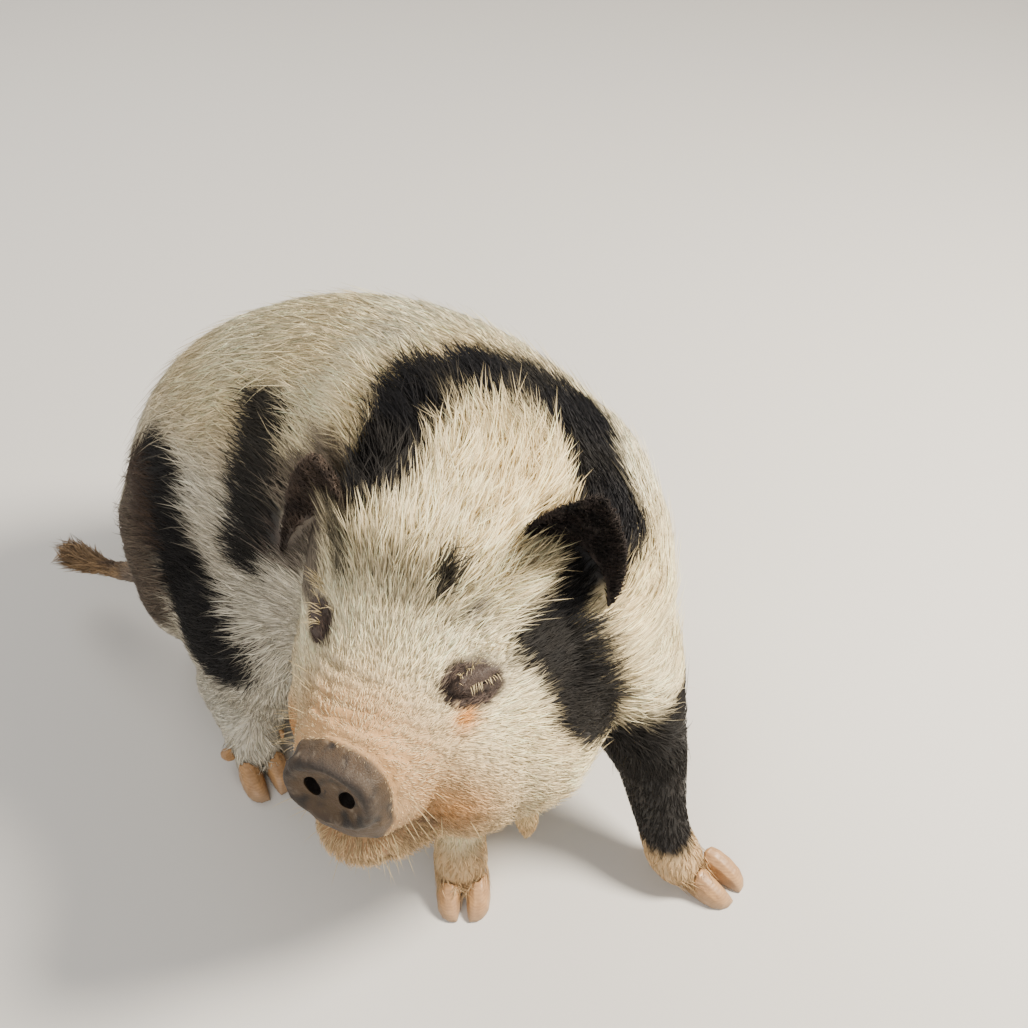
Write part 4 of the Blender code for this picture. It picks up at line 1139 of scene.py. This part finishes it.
def tuft_mesh(name, rows, side, widths, flatness, colours, charts):
    """Thin, closed, tapered tufts joined in one mesh."""
    count, rings = len(rows[0]), len(rows) - 1
    points = np.empty((count, rings * 3 + 1, 3))
    for k in range(rings):
        along = unit(rows[k + 1] - rows[k])
        up = unit(np.cross(along, side))
        half = (widths[0] * widths[1][k] * 0.5)[:, None]
        points[:, k * 3] = rows[k] + side * half - up * half * flatness
        points[:, k * 3 + 1] = rows[k] + up * half * flatness
        points[:, k * 3 + 2] = rows[k] - side * half - up * half * flatness
    points[:, -1] = rows[-1]
    faces = [(0, 1, 2)]
    for k in range(rings - 1):
        for j in range(3):
            a, b = k * 3 + j, k * 3 + (j + 1) % 3
            faces += [(a, b + 3, b), (a, a + 3, b + 3)]
    last = (rings - 1) * 3
    faces += [(last + j, rings * 3, last + (j + 1) % 3) for j in range(3)]
    faces = np.array(faces)
    stride = rings * 3 + 1
    indices = (faces[None] + (np.arange(count) * stride)[:, None, None]).reshape(-1, 3)
    mesh = bpy.data.meshes.new(name)
    mesh.vertices.add(count * stride)
    mesh.vertices.foreach_set("co", points.ravel())
    mesh.loops.add(len(indices) * 3)
    mesh.loops.foreach_set("vertex_index", indices.ravel().astype(np.int32))
    mesh.polygons.add(len(indices))
    mesh.polygons.foreach_set("loop_start", np.arange(0, len(indices) * 3, 3, dtype=np.int32))
    mesh.update(calc_edges=True)
    mesh.polygons.foreach_set("use_smooth", np.ones(len(indices), bool))
    obj = bpy.data.objects.new(name, mesh)
    bpy.context.scene.collection.objects.link(obj)
    # Painted shade: each tuft darker toward its root, where dense hair shades itself, and a little lighter at
    # its tip
    shade = np.concatenate([np.full(3, 0.60 + 0.40 * k / max(rings - 1, 1)) for k in range(rings)] + [[1.12]])
    paint = np.repeat(colours, stride, axis=0) * np.tile(shade, count)[:, None]
    write_colour(obj, paint)
    lay_out(mesh, indices, charts, stride)
    return obj


def lay_out(mesh, indices, charts, stride):
    """Each tuft as a small patch at its root's place on the skin's unwrap."""
    across = np.tile((-1.0, 0.0, 1.0), (stride - 1) // 3)
    along = np.repeat(np.linspace(-1.0, 0.6, (stride - 1) // 3), 3)
    patch = np.stack((np.append(across, 0.0), np.append(along, 1.0)), axis=1) * PATCH_HALF
    spots = (charts[:, None, :] + patch[None]).reshape(-1, 2)
    layer = mesh.uv_layers.new(name="OFBake")
    layer.data.foreach_set("uv", spots[indices.ravel()].ravel())


def unwrap(obj):
    """A skin's own unwrap, which the patches of its hair are laid out on."""
    obj.data.uv_layers.new(name="OFBake")
    choose(obj)
    bpy.ops.object.mode_set(mode="EDIT")
    bpy.ops.mesh.select_all(action="SELECT")
    bpy.ops.uv.smart_project(angle_limit=math.radians(66), island_margin=0.002)
    bpy.ops.object.mode_set(mode="OBJECT")


def face_of(spots):
    forward, left, up = in_head_frame(spots)
    return (forward > -0.045) & (np.abs(left) < 0.16) & (up > -0.23)


def bareness(spots):
    """How bare the muzzle is: one on the snout's plate and just behind it."""
    forward, _, up = in_head_frame(spots)
    return muzzle_share(forward, up, 0.085, 0.120) * smooth_step(up, -0.120, -0.085)


def body_density(points):
    spots = points - SHIFT
    crest = crest_share(spots)
    low = smooth_step(spots[:, 2], 0.004, 0.05)
    return np.where(face_of(spots), 0.0, (0.45 + 0.55 * low) * (1 + 0.5 * crest))


def face_density(points):
    spots = points - SHIFT
    _, _, depth, _ = disc_frame(points)
    return np.where(face_of(spots) & (depth < -0.010), 1.0 - 0.62 * bareness(spots), 0.0)


def even_density(points):
    return np.ones(len(points))


def crest_share(spots):
    """How far a place is within the forehead, the poll and the top of the neck."""
    forward, left, up = in_head_frame(spots)
    along = smooth_step(forward, -0.21, -0.15) * (1 - smooth_step(forward, -0.02, 0.02))
    return along * (1 - smooth_step(np.abs(left), 0.08, 0.13)) * smooth_step(up, 0.03, 0.07)


def clear_of_eyes(spots, length):
    """Shortens tufts by the eyes, so that none covers them."""
    for node in EYES:
        reach = np.linalg.norm(spots + SHIFT - middle_of(node), axis=1)
        length = length * smooth_step(reach, 0.010, 0.040) + 0.0012
    return length


def body_plan(spots):
    """Length, rise and width of the tufts of the trunk and the legs, shorter low down."""
    crest = crest_share(spots)
    low = 1 - smooth_step(spots[:, 2], 0.05, 0.16)
    leg = np.minimum(away_from_line(spots, LEFT_LEG), away_from_line(spots, RIGHT_LEG))
    on_leg = (1 - smooth_step(leg, 0.05, 0.09)) * (1 - smooth_step(spots[:, 2], 0.13, 0.20))
    length = 0.041 - 0.018 * low + 0.002 * crest
    foot = on_leg * (1 - smooth_step(spots[:, 2], 0.035, 0.060))
    length = length * (1 - on_leg) + 0.015 * on_leg + 0.017 * foot
    rise = 0.055 + 0.44 * crest - 0.02 * on_leg
    width = 0.0015 - 0.0004 * on_leg
    return length, rise, width


def face_plan(spots):
    """The coat of the face: short on the muzzle, long on the crest, and upright on the chin."""
    forward, _, up = in_head_frame(spots)
    crest = crest_share(spots)
    chin = smooth_step(-up, 0.120, 0.160)
    length = 0.020 - 0.014 * smooth_step(forward, 0.00, 0.075) * (1 - chin) + 0.018 * crest + 0.001 * chin
    length = clear_of_eyes(spots, length) * (1 - 0.35 * bareness(spots))
    rise = 0.09 + 0.44 * crest + 0.20 * chin
    width = np.minimum(0.0012 - 0.0004 * smooth_step(forward, 0.03, 0.09), length * 0.10)
    return length, rise, width


def ear_plan(spots):
    rim = 0.5 + 0.5 * speckle(spots, 40.0)
    return 0.010 + 0.007 * rim, 0.24, 0.0011


def tail_plan(spots):
    end = smooth_step(spots[:, 1], 0.40, 0.47)
    return 0.016 + 0.030 * end, 0.12 + 0.18 * end, 0.0013


def tassel_plan(_):
    return 0.015, 0.12, 0.0012


def lie_on_tail(points):
    return unit(np.array((-0.02, 1.0, -0.35)) + 0.25 * np.sin(points[:, ::-1] * 260))


def lie_on_tassel(points):
    return unit(np.array((0.0, 0.0, -1.0)) + 0.18 * np.sin(points[:, ::-1] * 300))


def lie_on_ear(node):
    """From an ear's root to its tip, spreading a little to its rims."""
    spots = points_of(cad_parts[node])
    tip = spots[np.argmax(spots[:, 2])]
    middle = spots.mean(axis=0)

    def lie(points):
        return unit(unit(tip - middle) + 0.45 * unit(points - middle))

    return lie


def ear_colour(node):
    """Black on the left ear; brown-grey on the right, both mottled."""
    first, second = EAR_COLOURS[node]

    def colour(points):
        return blend(first, second, 0.25 + 0.5 * speckle(points, 55.0))

    return colour


def tail_colour(points):
    brown = blend(BROWN, TAN, 0.35 + 0.5 * speckle(points, 50.0))
    return blend(brown, GREY, 0.8 - 0.8 * smooth_step(points[:, 1] - SHIFT[1], 0.350, 0.410))


def tassel_colour(points):
    return blend(TAN, CREAM, 0.4 + 0.5 * speckle(points, 50.0))


def crossing(walls, start, ends):
    """Which tufts run through a thin wall, such as an ear."""
    low, high = (np.array(corner) for corner in walls[1])
    near = np.flatnonzero(((start > low - 0.03) & (start < high + 0.03)).all(axis=1))
    bad = np.zeros(len(start), bool)
    for i in near:
        origin = Vector(start[i])
        for end in ends:
            way = Vector(end[i]) - origin
            hit = walls[0].ray_cast(origin, way.normalized(), way.length + 0.002)[0]
            bad[i] = bad[i] or hit is not None
        bad[i] = bad[i] or walls[0].find_nearest(origin)[3] < 0.003
    return bad


def blocked(walls, place, normal, rows):
    """Which tufts run through any of the walls."""
    bad = np.zeros(len(place), bool)
    for wall in walls:
        bad |= crossing(wall, place + normal * 0.001, rows[1:])
    return bad


def ear_walls():
    return [(surface_tree(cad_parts[node]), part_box(node)) for node in EARS]


def horn_nodes():
    return [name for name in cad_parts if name.endswith(("hoof", "dewclaw"))]


def grow(base, name, surface, number, plan, rings, pieces, density, lie, colouring, seed, walls=()):
    """Grows tufts on a piece of skin and joins them in a few meshes. They lie over the hooves too."""
    rng = np.random.default_rng(seed)
    tree = surface_tree(base, *(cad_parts[node] for node in horn_nodes()))
    place, normal, chart = surface_samples(base, number, density, rng)
    way = lie(place)
    length, rise, width = (np.broadcast_to(part, number) for part in plan(place - SHIFT))
    spread = rng.uniform(*TUFT_LENGTHS, number)
    way = unit(way + rng.normal(0, 0.10, (number, 3)))
    bend = rng.normal(0, 0.15, number)
    colour = colouring(place + way * 0.006) * rng.uniform(*TUFT_SHADES, number)[:, None]
    steps = (0.5, 1.0) if rings == 2 else (0.34, 0.68, 1.0)
    lift = rise * rng.uniform(0.5, 1.6, number)
    tufts = (place, normal, way, length * spread, lift, bend)
    rows, side = tuft_rows(tree, steps, *tufts)
    shape = (0.8, 1.0, 0.62)[:rings]
    keep = np.min([row[:, 2] for row in rows[1:]], axis=0) > GROUND_CLEAR
    shortened = np.flatnonzero(blocked(walls, place, normal, rows))
    stubs, _ = tuft_rows(tree, steps, *(part[shortened] for part in tufts), STUB)
    for row, stub in zip(rows, stubs):
        row[shortened] = stub
    keep[shortened] &= ~blocked(walls, place[shortened], normal[shortened], stubs)
    parts = []
    for k, part in enumerate(np.array_split(np.flatnonzero(keep), pieces)):
        obj = tuft_mesh(
            f"{name}_{k + 1}",
            [row[part] for row in rows],
            side[part],
            (width[part] * spread[part], shape),
            TUFT_THICKNESS,
            colour[part],
            chart[part],
        )
        obj.data.materials.append(surface)
        parts.append(obj)
    return parts


def curved_bristles(name, surface, roots, ways, lengths, droop, colour, charts):
    """Single long bristles, such as whiskers and lashes, joined in one mesh."""
    rows = [roots - ways * 0.002]
    for t in (0.3, 0.65, 1.0):
        rows.append(roots + ways * (lengths * t)[:, None] + np.asarray(droop) * (lengths * t * t)[:, None])
    side = unit(np.cross(ways, (0.13, 0.21, 0.97)))
    widths = (np.full(len(roots), BRISTLE_WIDTH), (1.0, 0.9, 0.6))
    obj = tuft_mesh(name, rows, side, widths, 0.8, np.tile(colour, (len(roots), 1)), charts)
    obj.data.materials.append(surface)
    return obj


def build_lashes(hide, surface):
    """Pale lashes along each upper lid, turned down over the slit, and bristles on the brow."""
    rng = np.random.default_rng(SEED + 5)
    tree = surface_tree(hide)
    parts = []
    for node in EYES:
        centre, (across, up, out) = eye_axes(node)
        for word, count, level, reach, length, aim, droop in (
            ("lashes", 16, 0.0032, 0.0125, 0.0070, (-0.15, 1.0), -0.9),
            ("brow", 40, 0.0310, 0.0270, 0.0230, (0.90, 0.65), -0.15),
        ):
            place = np.linspace(-1, 1, count) + rng.normal(0, 0.05, count)
            arc = level * (1 - 0.35 * place ** 2) + rng.normal(0, 0.12 * level, count)
            aims = centre + across * (place * reach)[:, None] + up * arc[:, None] + out * EYE
            roots = np.array([tree.find_nearest(Vector(aim_at))[0] for aim_at in aims])
            ways = up * aim[0] + out * aim[1] + across * (place * 0.35)[:, None]
            ways = unit(ways + rng.normal(0, 0.24, (count, 3)))
            chart = np.tile((0.5, 0.5), (count, 1)) + rng.uniform(-0.01, 0.01, (count, 2))
            sizes = length * rng.uniform(0.7, 1.15, count)
            name = node + "_" + word
            hang = up * droop
            parts.append(curved_bristles(name, surface, roots, ways, sizes, hang, CREAM, chart))
    return parts


def build_whiskers(hide, surface):
    """Long sparse bristles on the chin, the lips and under the jaw."""
    rng = np.random.default_rng(SEED + 9)
    place, normal, chart = surface_samples(hide, WHISKERS_TRIED, even_density, rng)
    forward, left, up = in_head_frame(place - SHIFT)
    muzzle = (forward > 0.02) & (up < -0.085) & (up > -0.24) & (np.abs(left) < 0.10)
    sides = (forward > 0.05) & (forward < 0.115) & (up > -0.10)
    sides &= (np.abs(left) > 0.045) & (np.abs(left) < 0.10)
    chosen = np.flatnonzero(muzzle | sides)[:WHISKERS]
    loose = rng.normal(0, 0.15, (len(chosen), 3))
    ways = unit(normal[chosen] * 0.8 + lie_of_coat(place[chosen]) * 0.5 + loose)
    sizes = rng.uniform(0.014, 0.034, len(chosen))
    droop = (0.0, 0.0, -0.25)
    roots, charts = place[chosen], chart[chosen]
    return curved_bristles("whiskers", surface, roots, ways, sizes, droop, STRAW, charts)


def build_coat(hide, surface):
    """The coat of the trunk, the face, the crest and the long loose hairs, in that order."""
    walls = ear_walls()
    pieces = []
    for name, number, plan, rings, parts, density, seed in (
        ("coat_body", 82000, body_plan, 2, 5, body_density, SEED),
        ("coat_face", 37000, face_plan, 2, 2, face_density, SEED + 1),
        ("coat_crest", 9000, body_plan, 3, 1, crest_density, SEED + 2),
        ("coat_guard", 3600, guard_plan, 3, 1, guard_density, SEED + 6),
    ):
        pieces += grow(
            hide, name, surface, number, plan, rings, parts, density, lie_of_coat, coat_colour_and_shade, seed, walls
        )
    return pieces


def guard_density(points):
    spots = points - SHIFT
    return np.where(face_of(spots), 0.0, smooth_step(spots[:, 2], 0.14, 0.30))


def guard_plan(_):
    """Long single hairs that lie loose over the coat of the back and flanks."""
    return 0.056, 0.14, 0.0009


def crest_density(points):
    return crest_share(points - SHIFT)


# The whole


def belongs(piece, slot, *nodes):
    """Ties a piece to the model's body and hides the solids that it stands for; the slot is not used."""
    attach(piece, "root")
    if nodes:
        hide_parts(*nodes)


def build_trunk(skin, hair):
    """The one skin of head, neck, trunk and legs, with its coat, whiskers and lashes."""
    hide = build_hide()
    unwrap(hide)
    write_colour(hide, skin_colour(points_of(hide)))
    hide.data.materials.append(skin)
    belongs(hide, "coat", *FLESH)
    for piece in build_coat(hide, hair):
        belongs(piece, "coat")
    belongs(build_whiskers(hide, hair), "face_coat")
    for piece in build_lashes(hide, hair):
        belongs(piece, "face_coat")


def build_ears(skin, hair):
    for node in EARS:
        piece = build_ear(node, skin)
        belongs(piece, "ear", node)
        lie, colouring = lie_on_ear(node), ear_colour(node)
        name, seed = node + "_hair", SEED + 3
        tufts = grow(piece, name, hair, EAR_TUFTS, ear_plan, 2, 1, even_density, lie, colouring, seed)
        belongs(tufts[0], "ear")


def build_hanging(skin, hair):
    """The tail and the tassels, with their hair."""
    for node, grid, number, slot, plan, lie, colouring in (
        ("tail", 0.0020, 2600, "tail", tail_plan, lie_on_tail, tail_colour),
        ("left_tassel", 0.0016, 1500, "tassel", tassel_plan, lie_on_tassel, tassel_colour),
        ("right_tassel", 0.0016, 1500, "tassel", tassel_plan, lie_on_tassel, tassel_colour),
    ):
        piece = rounded(node, node + "_hide", grid)
        if node == "tail":
            sink_root(piece)
        unwrap(piece)
        write_colour(piece, colouring(points_of(piece)))
        piece.data.materials.append(skin)
        belongs(piece, slot, node)
        tufts = grow(piece, node + "_hair", hair, number, plan, 2, 1, even_density, lie, colouring, SEED + 4)
        belongs(tufts[0], slot)


def build():
    """The whole pig in its studio."""
    deselect()
    set_camera()
    set_floor()
    set_light()
    skin, hair = hide_surface(), bristle_surface("bristles", 0.60, 0.16)
    horn = horn_surface("hoof_horn", *HORN)
    build_trunk(skin, hair)
    build_ears(skin, hair)
    build_hanging(skin, hair)
    wet = eye_surface()
    for node in EYES:
        belongs(build_eye(node, wet), "eye", node)
    for node in horn_nodes():
        piece = rounded(node, node + "_horn", 0.0013, 2)
        piece.data.materials.append(horn)
        belongs(piece, "hoof", node)
    deselect()


build()
